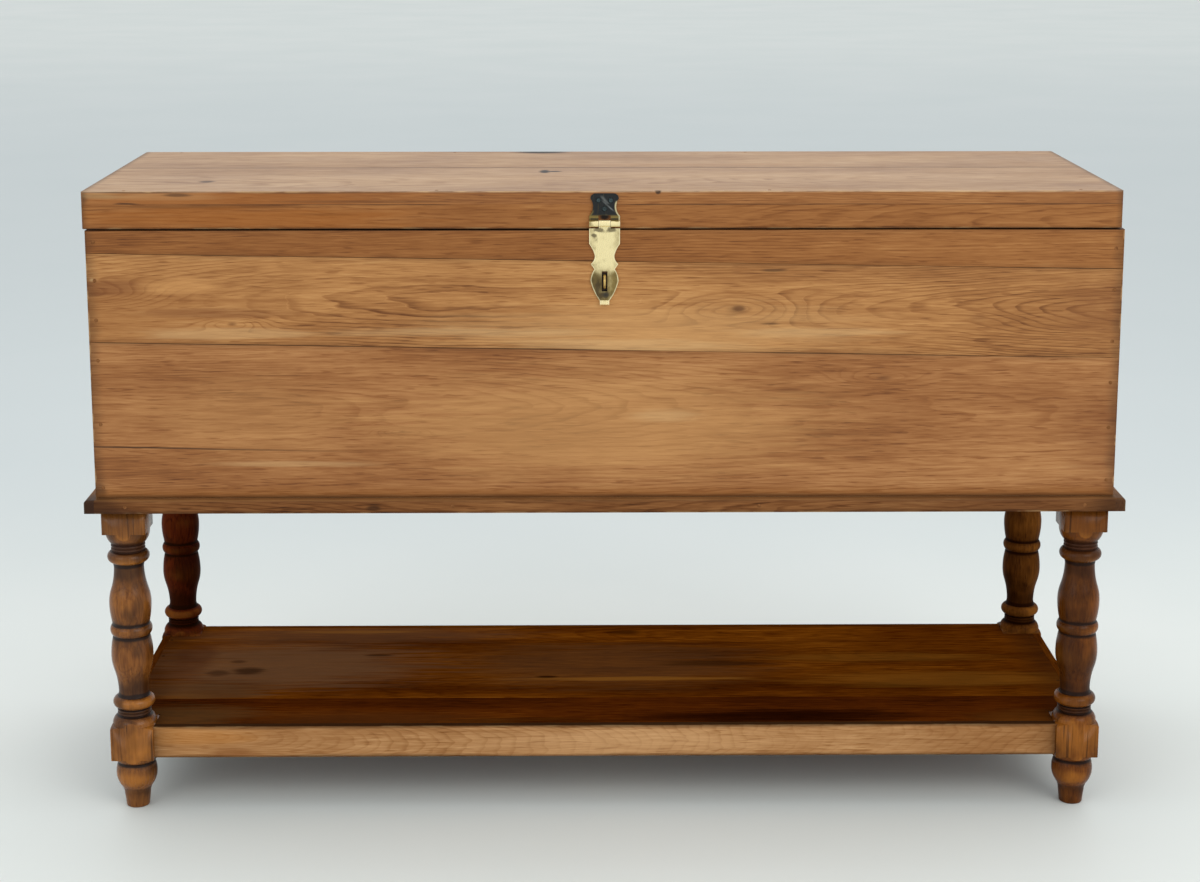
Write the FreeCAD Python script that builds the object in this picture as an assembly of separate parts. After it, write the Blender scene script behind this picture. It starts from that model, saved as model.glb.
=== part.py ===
import FreeCAD, Part
import math
import os
from FreeCAD import Vector

# Sugar chest on four turned legs, with a shelf, a hinged lid and a brass hasp.
# Millimetres. +X runs to the right along the front, +Y to the back, +Z up.
# The origin is on the floor, under the middle of the whole chest.

# Case
case_width = 1219.0
case_depth = 406.0
wall_height = 323.0
wall_thickness = 19.0
bottom_thickness = 16.0
bottom_front_board_share = 0.55
edge_round = 0.8

# Front wall: the seams slope, so each board has a share of the height at its left
# and at its right end
top_board_shares = (0.0836, 0.1455)
middle_board_shares = (0.328, 0.331)
back_lower_board_share = 0.555
end_lower_board_share = 0.47

# Base ledge, nailed round the front and sides of the bottom boards
ledge_projection = 12.0
ledge_round = 3.5

# Divider between the two sugar bins
divider_thickness = 12.0
divider_height_share = 0.892
divider_place_share = 0.58
divider_groove = 5.0
divider_play = 0.25

# Lid
lid_gap = 2.0
lid_shift = 3.0
lid_rail_height = 29.0
lid_rail_thickness = 19.0
lid_board_thickness = 15.0
lid_front_board_share = 0.56
lid_corner_round = 4.0

# Legs
leg_height = 384.0
leg_square = 52.0
leg_inset = 4.0
leg_edge_chamfer = 1.0
foot_height = 66.0
lower_block_height = 37.0
upper_block_height = 31.0
leg_tenon_radius = 11.0
leg_tenon_length = 12.0
joint_play = 0.2

# Radii of the turning
ring_radius = 25.4
groove_radius = 22.4
waist_radius = 18.0
collar_radius = 18.9
neck_radius = 19.3
bead_radius = 20.6
bulb_radius = 25.0
ankle_radius = 15.8
base_radius = 14.2
base_round = 2.0
pommel_radius = 26.9
shoulder_rise = 5.0
shoulder_round_share = 0.85

# Heights on the turning, as shares of half of the turned length
ring_half_share = 0.056
groove_edge_share = 0.066
crown_share = 0.265
ogee_share = 0.38
waist_share = 0.635
collar_share = 0.672
torus_half_share = 0.058
torus_share = 0.739
bead_half_share = 0.0145
bead_shares = (0.818, 0.852)
neck_share = 0.868

# Heights on the foot, as shares of the height of the foot
foot_groove_share = 0.87
foot_crown_share = 0.67
foot_ankle_share = 0.24
foot_groove_width_share = 0.02
foot_ogee_share = 0.6

# Shelf
shelf_rail_height = 40.0
shelf_rail_thickness = 19.0
shelf_rail_lift = 1.0
shelf_front_setback = 8.0
shelf_side_setback = 2.0
shelf_board_thickness = 18.0
shelf_rabbet = 9.0
shelf_board_shares = (0.24, 0.31, 0.27, 0.18)
shelf_play = 0.3
shelf_edge_round = 1.5
rail_tenon_length = 18.0
rail_tenon_thickness = 8.0
rail_tenon_shoulder = 5.0
bearer_width = 40.0
bearer_height = 18.0

# Nails
nail_radius = 1.1
nail_head_radius = 2.2
nail_head_height = 1.2
nail_length = 38.0
brad_length = 24.0
nail_play = 0.05
left_nail_shares = (0.04, 0.28, 0.52, 0.67, 0.817, 0.958)
right_nail_shares = (0.06, 0.26, 0.43, 0.585, 0.777, 0.93)
ledge_nail_shares = (0.03, 0.35, 0.65, 0.97)
lid_nail_shares = (0.04, 0.34, 0.66, 0.96)
bottom_nail_shares = (0.1, 0.5, 0.9)

# Butt hinges at the back
hinge_length = 64.0
hinge_place_share = 0.17
hinge_leaf_width = 17.0
hinge_leaf_thickness = 2.0
hinge_leaf_gap = 0.3
hinge_knuckle_radius = 4.0
hinge_knuckles = 5
hinge_knuckle_gap = 0.4
hinge_pin_radius = 1.8
hinge_wall_gap = 0.5
hinge_leaf_edge_gap = 0.35
pin_play = 0.05
recess_play = 0.1

# Wood screws of the hinges and of the hasp
screw_radius = 1.4
screw_head_radius = 3.0
screw_head_height = 1.6
screw_length = 14.0
screw_play = 0.1
hinge_screw_shares = (0.18, 0.5, 0.82)
dome_height = 1.5

# Hasp
hasp_width = 36.0
hasp_axis_drop = 37.5
hasp_top_leaf_height = 35.0
hasp_top_width = 33.0
hasp_top_waist_width = 27.0
hasp_top_corner = 6.0
hasp_place = 1.5
hasp_thickness = 2.4
hasp_knuckle_radius = 4.0
hasp_knuckle_width = 13.4
hasp_knuckle_gap = 0.5
hasp_notch_rise = 5.4
hasp_flare_rise = 8.4
hasp_pin_radius = 1.7
hasp_face_gap = 0.3
hasp_shoulder_drop = 6.2
hasp_leaf_length = 92.0
hasp_slot_width = 6.6
hasp_slot_length = 24.0
hasp_slot_drop = 69.0
hasp_lip_length = 5.0
hasp_lip_reach = 4.0
hasp_lip_width = 11.0
hasp_screw_spread = 14.5
hasp_screw_top_drop = 8.0
hasp_screw_low_drop = 18.0

# Outline of the hasp leaf: half widths as shares of half the hasp's width,
# and distances below the pin as shares of the leaf's length
leaf_shoulder_end_share = 0.265
leaf_waist_share = 0.41
leaf_point_share = 0.525
leaf_notch_share = 0.593
leaf_belly_share = 0.745
leaf_waist_width_share = 0.64
leaf_point_width_share = 0.89
leaf_notch_width_share = 0.66
leaf_belly_width_share = 0.91
leaf_tip_width_share = 0.31

# Where the curves of the outline pass between those points, in the same shares
leaf_bend_shares = (0.72, 0.362)
leaf_flank_shares = (0.705, 0.48)
leaf_chest_shares = (0.845, 0.669)
leaf_taper_shares = (0.69, 0.8725)

# Staple
staple_wire = 3.2
staple_height = 17.0
staple_reach = 13.0
staple_root = 15.0
staple_play = 0.05

# Cuts run this far past the faces that they open
overrun = 2.0

# Places that follow from the sizes above
hinge_axis_reach = hinge_knuckle_radius + hinge_wall_gap
front_reach = max(ledge_projection, staple_reach)
overall_depth = front_reach + case_depth + hinge_axis_reach + hinge_knuckle_radius
case_front = front_reach - overall_depth / 2
case_back = case_front + case_depth
case_right = case_width / 2
case_left = -case_right
inner_front = case_front + wall_thickness
inner_back = case_back - wall_thickness
case_floor = leg_height + bottom_thickness
case_rim = case_floor + wall_height
lid_bottom = case_rim + lid_gap
lid_rail_top = lid_bottom + lid_rail_height
lid_top = lid_rail_top + lid_board_thickness
lid_left = case_left - lid_shift
lid_right = case_right - lid_shift
leg_half = leg_square / 2
leg_x = case_right - leg_inset - leg_half
leg_front_y = case_front + leg_inset + leg_half
leg_back_y = case_back - leg_inset - leg_half
shelf_bottom = foot_height + shelf_rail_lift
shelf_top = shelf_bottom + shelf_rail_height
shelf_front = leg_front_y - leg_half + shelf_front_setback
shelf_back = leg_back_y + leg_half - shelf_front_setback
shelf_side = leg_x + leg_half - shelf_side_setback
hinge_axis_y = case_back + hinge_axis_reach
hinge_axis_z = case_rim + lid_gap / 2
hinge_x = case_width * (1 / 2 - hinge_place_share)
hinge_mid_y = case_back - hinge_leaf_width / 2
hasp_axis_y = case_front - hasp_face_gap - hasp_knuckle_radius
hasp_axis_z = lid_top - hasp_axis_drop
hasp_x = -hasp_place
staple_z = hasp_axis_z - hasp_slot_drop
divider_x = case_left + case_width * divider_place_share


def block(x0, x1, y0, y1, z0, z1):
    return Part.makeBox(x1 - x0, y1 - y0, z1 - z0, Vector(x0, y0, z0))


def rod(radius, start, direction, length):
    return Part.makeCylinder(radius, length, start, direction)


def plate_xz(points, y0, y1):
    """A flat outline in X and Z, made thick from y0 to y1."""
    outline = Part.makePolygon([Vector(x, y0, z) for x, z in points + points[:1]])
    return Part.Face(outline).extrude(Vector(0, y1 - y0, 0))


def middle_of(edge):
    return edge.valueAt((edge.FirstParameter + edge.LastParameter) / 2)


def rounded(shape, radius, wanted):
    """Rounds the edges whose middle point passes the test."""
    edges = [edge for edge in shape.Edges if wanted(middle_of(edge))]
    return shape.makeFillet(radius, edges) if edges else shape


def on_plane(value, plane):
    return abs(value - plane) < edge_round / 10


def without(shape, cutters):
    return shape.cut(cutters) if cutters else shape


def group(solids):
    return Part.makeCompound(solids)


# Nails, screws and the holes that they sit in
def nail(head, direction, length, play):
    """A wire nail whose head is flush at the point head."""
    shank = rod(nail_radius + play, head, direction, length)
    cap = rod(nail_head_radius + play, head, direction, nail_head_height + play)
    return shank.fuse(cap)


def nail_set(places, direction, length):
    """The nails, and the holes that take them."""
    nails = [nail(place, direction, length, 0) for place in places]
    holes = [nail(place, direction, length + nail_play, nail_play) for place in places]
    return nails, holes


def sunk_screw(head, direction, play):
    """A screw with a sunk cone head, flush at the point head."""
    cone_end = screw_radius + play
    cone = Part.makeCone(screw_head_radius + play, cone_end, screw_head_height, head, direction)
    return cone.fuse(rod(cone_end, head, direction, screw_length + play))


def dome_screw(seat, direction, play):
    """A screw whose low round head stands on the point seat."""
    shank = rod(screw_radius + play, seat, direction, screw_length + play)
    ball_radius = (screw_head_radius ** 2 + dome_height ** 2) / (2 * dome_height)
    ball = Part.makeSphere(ball_radius, seat + direction * (ball_radius - dome_height))
    cap = ball.common(rod(screw_head_radius, seat, -direction, dome_height))
    return cap.fuse(shank)


# Turned legs
def upright_arc_middle(upright, far):
    """The middle point of an arc that runs upright at its first end."""
    run, rise = far[0] - upright[0], far[1] - upright[1]
    size = (rise ** 2 + run ** 2) / (2 * abs(run))
    half_turn = math.asin(abs(rise) / size) / 2
    side = math.copysign(size * (1 - math.cos(half_turn)), run)
    return upright[0] + side, upright[1] + math.copysign(size * math.sin(half_turn), rise)


class Turning:
    """A path in radius and height, turned about the Z axis when it is closed."""

    def __init__(self, radius, height):
        self.start = self.here = (radius, height)
        self.edges = []

    def line(self, radius, height):
        self.edges.append(Part.makeLine(self.point(self.here), self.point((radius, height))))
        self.here = (radius, height)

    def arc(self, through, end):
        curve = Part.Arc(self.point(self.here), self.point(through), self.point(end))
        self.edges.append(curve.toShape())
        self.here = end

    def bead(self, radius, end_height):
        """A round swelling that comes back to the radius where it began."""
        root, low = self.here
        self.arc((radius, (low + end_height) / 2), (root, end_height))

    def from_crown(self, radius, height):
        """An arc that starts upright, at its fullest or thinnest point."""
        self.arc(upright_arc_middle(self.here, (radius, height)), (radius, height))

    def to_crown(self, radius, height):
        """An arc that ends upright, at its fullest or thinnest point."""
        self.arc(upright_arc_middle((radius, height), self.here), (radius, height))

    def ogee(self, radius, height, share):
        """An S curve of two arcs, upright at both ends, that turns at the share of its way."""
        r0, z0 = self.here
        self.from_crown(r0 + (radius - r0) * share, z0 + (height - z0) * share)
        self.to_crown(radius, height)

    def solid(self):
        self.line(*self.start)
        return Part.Face(Part.Wire(self.edges)).revolve(Vector(0, 0, 0), Vector(0, 0, 1), 360)

    def point(self, place):
        return Vector(place[0], 0, place[1])


turned_half = (leg_height - foot_height - lower_block_height - upper_block_height) / 2
turned_middle = foot_height + lower_block_height + turned_half
block_reach = leg_half * math.sqrt(2) + overrun


def upper_height(share):
    return turned_middle + turned_half * share


def lower_height(share):
    return turned_middle - turned_half * share


def turn_foot(path):
    """From the floor to the underside of the lower block."""
    path.line(base_radius - base_round, 0)
    corner = base_round * (1 - math.sqrt(1 / 2))
    path.arc((base_radius - corner, corner), (base_radius, base_round))
    path.line(ankle_radius, foot_height * foot_ankle_share)
    path.ogee(bulb_radius, foot_height * foot_crown_share, 1 - foot_ogee_share)
    groove = foot_height * foot_groove_share
    path.from_crown(groove_radius, groove)
    path.line(groove_radius, groove + foot_height * foot_groove_width_share)
    path.to_crown(pommel_radius, foot_height)
    path.line(block_reach, foot_height)


def turn_lower_shoulder(path):
    """From the lower block up to the neck: rounded corners, then a cup."""
    corner = foot_height + lower_block_height
    cup = corner + shoulder_rise
    path.line(block_reach, corner)
    bulge = ((block_reach + pommel_radius) / 2, corner + shoulder_rise * shoulder_round_share)
    path.arc(bulge, (pommel_radius, cup))
    path.from_crown(neck_radius, lower_height(neck_share))


def turn_beads(path, height, shares):
    for share in shares:
        path.line(neck_radius, min(height(share - bead_half_share), height(share + bead_half_share)))
        path.bead(bead_radius, max(height(share - bead_half_share), height(share + bead_half_share)))


def turn_torus(path, height):
    low, high = sorted((height(torus_share - torus_half_share), height(torus_share + torus_half_share)))
    path.line(neck_radius, low)
    path.bead(ring_radius, high)


def turn_lower_vase(path):
    path.line(collar_radius, lower_height(collar_share))
    path.line(waist_radius, lower_height(waist_share))
    path.ogee(ring_radius, lower_height(crown_share), 1 - ogee_share)
    path.from_crown(groove_radius, lower_height(groove_edge_share))


def turn_upper_vase(path):
    path.line(groove_radius, upper_height(groove_edge_share))
    path.to_crown(ring_radius, upper_height(crown_share))
    path.ogee(waist_radius, upper_height(waist_share), ogee_share)
    path.line(collar_radius, upper_height(collar_share))


def turn_upper_cup(path):
    """From the neck to the flat underside of the upper block."""
    top = leg_height - upper_block_height
    path.line(neck_radius, upper_height(neck_share))
    path.to_crown(pommel_radius, top)
    path.line(block_reach, top)
    path.line(block_reach, leg_height)


def leg_turning():
    path = Turning(0, 0)
    turn_foot(path)
    turn_lower_shoulder(path)
    turn_beads(path, lower_height, bead_shares[::-1])
    turn_torus(path, lower_height)
    turn_lower_vase(path)
    path.line(groove_radius, lower_height(ring_half_share))
    path.bead(ring_radius, upper_height(ring_half_share))
    turn_upper_vase(path)
    turn_torus(path, upper_height)
    turn_beads(path, upper_height, bead_shares)
    turn_upper_cup(path)
    path.line(leg_tenon_radius, leg_height)
    path.line(leg_tenon_radius, leg_height + leg_tenon_length)
    path.line(0, leg_height + leg_tenon_length)
    return path.solid()


def leg_blank():
    """The square length of wood that the leg is turned from."""
    square = block(-leg_half, leg_half, -leg_half, leg_half, 0, leg_height + leg_tenon_length)
    upright = [edge for edge in square.Edges if abs(edge.tangentAt(0).z) > 1 / 2]
    return square.makeChamfer(leg_edge_chamfer, upright)


def rail_mortise(along_x, side_x, side_y, line):
    """The socket in a lower block, about the leg's own axis, for a rail's tenon."""
    z0 = shelf_bottom + rail_tenon_shoulder - joint_play
    z1 = shelf_top - rail_tenon_shoulder + joint_play
    near = leg_half + overrun
    far = leg_half - rail_tenon_length - joint_play
    half = rail_tenon_thickness / 2 + joint_play
    if along_x:
        x0, x1 = sorted((side_x * near, side_x * far))
        return block(x0, x1, line - half, line + half, z0, z1)
    y0, y1 = sorted((side_y * near, side_y * far))
    return block(line - half, line + half, y0, y1, z0, z1)


def long_rail_line(side_y):
    """The middle of the front or back shelf rail."""
    face = shelf_front if side_y < 0 else shelf_back
    return face - side_y * shelf_rail_thickness / 2


def short_rail_line(side_x):
    """The middle of the left or right shelf rail."""
    return side_x * (shelf_side - shelf_rail_thickness / 2)


def make_legs():
    turned = leg_turning().common(leg_blank())
    legs = {}
    for side_name, side_x in (("left", -1), ("right", 1)):
        for row_name, side_y, y in (("front", -1, leg_front_y), ("back", 1, leg_back_y)):
            x = side_x * leg_x
            long_socket = rail_mortise(True, -side_x, -side_y, long_rail_line(side_y) - y)
            short_socket = rail_mortise(False, -side_x, -side_y, short_rail_line(side_x) - x)
            leg = turned.cut([long_socket, short_socket])
            leg.translate(Vector(x, y, 0))
            legs["leg_" + row_name + "_" + side_name] = leg
    return legs


# Shelf
def rail_tenon_height():
    return shelf_bottom + rail_tenon_shoulder, shelf_top - rail_tenon_shoulder


def long_shelf_rail(side_y):
    """Front or back rail, with a rabbet for the boards and a tenon at each end."""
    end = leg_x - leg_half
    middle = long_rail_line(side_y)
    y0, y1 = middle - shelf_rail_thickness / 2, middle + shelf_rail_thickness / 2
    bar = block(-end, end, y0, y1, shelf_bottom, shelf_top)
    outer = y0 if side_y < 0 else y1
    bar = rounded(bar, shelf_edge_round, lambda p: on_plane(p.y, outer) and on_plane(p.x, 0))
    inner = y1 if side_y < 0 else y0
    r0, r1 = sorted((inner + side_y * shelf_rabbet, inner - side_y * overrun))
    z0, z1 = shelf_top - shelf_board_thickness, shelf_top + overrun
    rabbet = block(-end - overrun, end + overrun, r0, r1, z0, z1)
    z0, z1 = rail_tenon_height()
    half = rail_tenon_thickness / 2
    reach = end + rail_tenon_length
    tenon = block(-reach, reach, middle - half, middle + half, z0, z1)
    return bar.fuse(tenon).cut(rabbet).removeSplitter()


def short_shelf_rail(side_x):
    """Left or right rail, made like the long ones."""
    y0, y1 = leg_front_y + leg_half, leg_back_y - leg_half
    middle = short_rail_line(side_x)
    x0, x1 = middle - shelf_rail_thickness / 2, middle + shelf_rail_thickness / 2
    bar = block(x0, x1, y0, y1, shelf_bottom, shelf_top)
    outer = x0 if side_x < 0 else x1
    centre = (y0 + y1) / 2
    bar = rounded(bar, shelf_edge_round, lambda p: on_plane(p.x, outer) and on_plane(p.y, centre))
    inner = x1 if side_x < 0 else x0
    r0, r1 = sorted((inner + side_x * shelf_rabbet, inner - side_x * overrun))
    z0, z1 = shelf_top - shelf_board_thickness, shelf_top + overrun
    rabbet = block(r0, r1, y0 - overrun, y1 + overrun, z0, z1)
    z0, z1 = rail_tenon_height()
    half = rail_tenon_thickness / 2
    tenon = block(middle - half, middle + half, y0 - rail_tenon_length, y1 + rail_tenon_length, z0, z1)
    return bar.fuse(tenon).cut(rabbet).removeSplitter()


def board_edges(start, end, shares):
    """The places where boards laid side by side meet."""
    places = [start]
    for share in shares:
        places.append(places[-1] + (end - start) * share)
    return places


def leg_notches():
    """The room that the shelf boards leave for the four lower blocks."""
    near = leg_half + shelf_play
    far = leg_half + overrun
    notches = []
    for side_x in (-1, 1):
        for side_y, leg_y in ((-1, leg_front_y), (1, leg_back_y)):
            x0, x1 = sorted((side_x * (leg_x - near), side_x * (leg_x + far)))
            y0, y1 = sorted((leg_y - side_y * near, leg_y + side_y * far))
            notches.append(block(x0, x1, y0, y1, 0, leg_height))
    return notches


def shelf_nail_places():
    """One nail at each end of each board, between the lower blocks of the legs."""
    wall = shelf_rail_thickness - shelf_rabbet
    edges = board_edges(shelf_front + wall, shelf_back - wall, shelf_board_shares)
    x = shelf_side - wall - shelf_rabbet / 2
    first, last = leg_front_y + leg_half, leg_back_y - leg_half
    places = []
    for near, far in zip(edges, edges[1:]):
        y = (max(near, first) + min(far, last)) / 2
        places += [Vector(side_x * x, y, shelf_top) for side_x in (-1, 1)]
    return places


def make_shelf():
    nails, holes = nail_set(shelf_nail_places(), Vector(0, 0, -1), brad_length)
    pieces = {
        "shelf_front_rail": long_shelf_rail(-1),
        "shelf_back_rail": long_shelf_rail(1),
        "shelf_left_rail": without(short_shelf_rail(-1), holes),
        "shelf_right_rail": without(short_shelf_rail(1), holes),
    }
    wall = shelf_rail_thickness - shelf_rabbet
    end = shelf_side - wall - shelf_play
    places = board_edges(shelf_front + wall + shelf_play, shelf_back - wall - shelf_play, shelf_board_shares)
    under = shelf_top - shelf_board_thickness
    notches = leg_notches()
    for index, name in enumerate(("front", "middle_front", "middle_back", "back")):
        y0, y1 = places[index], places[index + 1]
        board = block(-end, end, y0, y1, under, shelf_top)
        board = rounded(board, edge_round, lambda p: on_plane(p.z, shelf_top) and on_plane(p.x, 0))
        pieces["shelf_board_" + name] = without(board, notches + holes)
    y0, y1 = shelf_front + shelf_rail_thickness, shelf_back - shelf_rail_thickness
    bearer = block(-bearer_width / 2, bearer_width / 2, y0, y1, under - bearer_height, under)
    pieces["shelf_bearer"] = bearer
    pieces["shelf_nails"] = group(nails)
    return pieces


# Case
def corner_nails(face_y, direction_y):
    """Nails through the ends of the front or back wall into the end boards."""
    x = case_right - wall_thickness / 2
    places = []
    for side_x, shares in ((-1, left_nail_shares), (1, right_nail_shares)):
        places += [Vector(side_x * x, face_y, case_floor + wall_height * share) for share in shares]
    return nail_set(places, Vector(0, direction_y, 0), nail_length)


def bottom_nails():
    """Nails up through the bottom boards into the front and back walls."""
    places = []
    for share in bottom_nail_shares:
        x = case_left + case_width * share
        for y in (case_front + wall_thickness / 2, case_back - wall_thickness / 2):
            places.append(Vector(x, y, leg_height))
    return nail_set(places, Vector(0, 0, 1), nail_length)


def divider_room():
    half = divider_thickness / 2 + divider_play
    y0 = inner_front - divider_groove - divider_play
    y1 = inner_back + divider_groove + divider_play
    return block(divider_x - half, divider_x + half, y0, y1, case_floor - overrun, case_rim + overrun)


def front_boards():
    """Three boards whose seams slope down to the right."""
    ends = []
    for top_share, middle_share in zip(top_board_shares, middle_board_shares):
        upper_seam = case_rim - wall_height * top_share
        ends.append((case_rim, upper_seam, upper_seam - wall_height * middle_share, case_floor))
    left, right = ends
    boards = {}
    for index, name in enumerate(("top", "middle", "bottom")):
        corners = [
            (case_left, left[index + 1]),
            (case_right, right[index + 1]),
            (case_right, right[index]),
            (case_left, left[index]),
        ]
        board = plate_xz(corners, case_front, inner_front)
        boards["front_board_" + name] = rounded(board, edge_round, lambda p: on_plane(p.y, case_front))
    return boards


def back_boards():
    seam = case_floor + wall_height * back_lower_board_share
    boards = {}
    for name, z0, z1 in (("lower", case_floor, seam), ("upper", seam, case_rim)):
        board = block(case_left, case_right, inner_back, case_back, z0, z1)
        boards["back_board_" + name] = rounded(board, edge_round, lambda p: on_plane(p.y, case_back))
    return boards


def end_boards():
    seam = case_floor + wall_height * end_lower_board_share
    boards = {}
    for side, x0, x1, face in (
        ("left", case_left, case_left + wall_thickness, case_left),
        ("right", case_right - wall_thickness, case_right, case_right),
    ):
        for name, z0, z1 in (("lower", case_floor, seam), ("upper", seam, case_rim)):
            board = block(x0, x1, inner_front, inner_back, z0, z1)
            middle_y = (inner_front + inner_back) / 2
            board = rounded(board, edge_round, lambda p: on_plane(p.x, face) and on_plane(p.y, middle_y))
            boards[side + "_end_board_" + name] = board
    return boards


def leg_sockets():
    sockets = []
    for x in (-leg_x, leg_x):
        for y in (leg_front_y, leg_back_y):
            start = Vector(x, y, leg_height - overrun)
            depth = leg_tenon_length + joint_play + overrun
            sockets.append(rod(leg_tenon_radius + joint_play, start, Vector(0, 0, 1), depth))
    return sockets


def bottom_boards(holes):
    seam = case_front + case_depth * bottom_front_board_share
    front = block(case_left, case_right, case_front, seam, leg_height, case_floor)
    back = block(case_left, case_right, seam, case_back, leg_height, case_floor)
    cutters = leg_sockets() + holes
    return {"bottom_board_front": front.cut(cutters), "bottom_board_back": back.cut(cutters)}


def ledge_strips():
    """The front strip runs between the two side strips."""
    outer_x, outer_y = case_right + ledge_projection, case_front - ledge_projection
    front = block(case_left, case_right, outer_y, case_front, leg_height, case_floor)
    front = rounded(front, ledge_round, lambda p: on_plane(p.y, outer_y) and on_plane(p.z, case_floor))
    strips = {"ledge_front": front}
    middle_y = (outer_y + case_back) / 2
    for side, x0, x1, face in (
        ("left", -outer_x, case_left, -outer_x),
        ("right", case_right, outer_x, outer_x),
    ):
        strip = block(x0, x1, outer_y, case_back, leg_height, case_floor)
        top_edge = lambda p: on_plane(p.z, case_floor) and (on_plane(p.x, face) or on_plane(p.y, outer_y))
        strips["ledge_" + side] = rounded(strip, ledge_round, top_edge)
    return strips


def ledge_nail_places():
    z = (leg_height + case_floor) / 2
    front = [Vector(case_left + case_width * s, case_front - ledge_projection, z) for s in ledge_nail_shares]
    side_ys = [case_front + case_depth * s for s in ledge_nail_shares[1:3]]
    outer_x = case_right + ledge_projection
    sides = [(Vector(side_x * outer_x, y, z), Vector(-side_x, 0, 0)) for side_x in (-1, 1) for y in side_ys]
    return [(place, Vector(0, 1, 0)) for place in front] + sides


def make_case():
    front_nails, front_holes = corner_nails(case_front, 1)
    back_nails, back_holes = corner_nails(case_back, -1)
    under_nails, under_holes = bottom_nails()
    ledge_sets = [nail_set([place], way, brad_length) for place, way in ledge_nail_places()]
    ledge_nails = [nails[0] for nails, holes in ledge_sets]
    ledge_holes = [holes[0] for nails, holes in ledge_sets]
    groove = divider_room()
    wall_holes = front_holes + back_holes + under_holes + [groove]
    pieces = {}
    for name, board in {**front_boards(), **back_boards(), **end_boards()}.items():
        pieces[name] = board.cut(wall_holes)
    for name, board in bottom_boards(under_holes + ledge_holes).items():
        pieces[name] = board
    for name, strip in ledge_strips().items():
        pieces[name] = strip.cut(ledge_holes)
    half = divider_thickness / 2
    y0, y1 = inner_front - divider_groove, inner_back + divider_groove
    top = case_floor + wall_height * divider_height_share
    divider = block(divider_x - half, divider_x + half, y0, y1, case_floor, top)
    pieces["bin_divider"] = divider
    pieces["case_nails"] = group(front_nails + back_nails + under_nails)
    pieces["ledge_nails"] = group(ledge_nails)
    return pieces


# Lid
def lid_nail_places():
    front_y = case_front + lid_rail_thickness / 2
    back_y = case_back - lid_rail_thickness / 2
    places = []
    for share in lid_nail_shares:
        x = lid_left + case_width * share
        places += [Vector(x, front_y, lid_top), Vector(x, back_y, lid_top)]
    return places


def soft_lid_corners(shape):
    """Rounds the four outer corners of the lid that the shape has."""
    at_end = lambda p: on_plane(p.x, lid_left) or on_plane(p.x, lid_right)
    at_face = lambda p: on_plane(p.y, case_front) or on_plane(p.y, case_back)
    return rounded(shape, lid_corner_round, lambda p: at_end(p) and at_face(p))


def lid_board(y0, y1):
    board = block(lid_left, lid_right, y0, y1, lid_rail_top, lid_top)
    board = soft_lid_corners(board)
    return rounded(board, edge_round, lambda p: on_plane(p.z, lid_top))


def make_lid():
    nails, holes = nail_set(lid_nail_places(), Vector(0, 0, -1), nail_length)
    seam = case_front + case_depth * lid_front_board_share
    inner_left, inner_right = lid_left + lid_rail_thickness, lid_right - lid_rail_thickness
    y_front, y_back = case_front + lid_rail_thickness, case_back - lid_rail_thickness
    front = soft_lid_corners(block(lid_left, lid_right, case_front, y_front, lid_bottom, lid_rail_top))
    back = soft_lid_corners(block(lid_left, lid_right, y_back, case_back, lid_bottom, lid_rail_top))
    return {
        "lid_board_front": lid_board(case_front, seam).cut(holes),
        "lid_board_back": lid_board(seam, case_back).cut(holes),
        "lid_rail_front": front.cut(holes),
        "lid_rail_back": back.cut(holes),
        "lid_rail_left": block(lid_left, inner_left, y_front, y_back, lid_bottom, lid_rail_top),
        "lid_rail_right": block(inner_right, lid_right, y_front, y_back, lid_bottom, lid_rail_top),
        "lid_nails": group(nails),
    }


# Butt hinges
def leaf_level(on_lid):
    """Bottom and top of a closed leaf."""
    face = hinge_axis_z + hinge_leaf_gap / 2 if on_lid else hinge_axis_z - hinge_leaf_gap / 2
    return (face, face + hinge_leaf_thickness) if on_lid else (face - hinge_leaf_thickness, face)


def knuckle_spans(middle_x, on_lid):
    step = hinge_length / hinge_knuckles
    start = middle_x - hinge_length / 2
    first = 1 if on_lid else 0
    spans = []
    for index in range(first, hinge_knuckles, 2):
        left_play = hinge_knuckle_gap / 2 if index > 0 else 0
        right_play = hinge_knuckle_gap / 2 if index < hinge_knuckles - 1 else 0
        spans.append((start + index * step + left_play, start + (index + 1) * step - right_play))
    return spans


def hinge_screw_places(middle_x, on_lid):
    low, high = leaf_level(on_lid)
    face = low if on_lid else high
    start = middle_x - hinge_length / 2
    return [Vector(start + hinge_length * share, hinge_mid_y, face) for share in hinge_screw_shares]


def hinge_leaf(middle_x, on_lid):
    """A flat leaf with rolled knuckles at its back edge."""
    z0, z1 = leaf_level(on_lid)
    edge = hinge_axis_y - hinge_knuckle_radius - hinge_leaf_edge_gap
    front = case_back - hinge_leaf_width
    leaf = block(middle_x - hinge_length / 2, middle_x + hinge_length / 2, front, edge, z0, z1)
    for x0, x1 in knuckle_spans(middle_x, on_lid):
        start = Vector(x0, hinge_axis_y, hinge_axis_z)
        knuckle = rod(hinge_knuckle_radius, start, Vector(1, 0, 0), x1 - x0)
        tongue = block(x0, x1, edge - hinge_leaf_thickness, hinge_axis_y, z0, z1)
        leaf = leaf.fuse([tongue, knuckle])
    reach = hinge_length / 2 + overrun
    start = Vector(middle_x - reach, hinge_axis_y, hinge_axis_z)
    bore = rod(hinge_pin_radius + pin_play, start, Vector(1, 0, 0), 2 * reach)
    way = Vector(0, 0, 1) if on_lid else Vector(0, 0, -1)
    holes = [sunk_screw(place, way, screw_play) for place in hinge_screw_places(middle_x, on_lid)]
    return leaf.cut([bore] + holes).removeSplitter()


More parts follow.
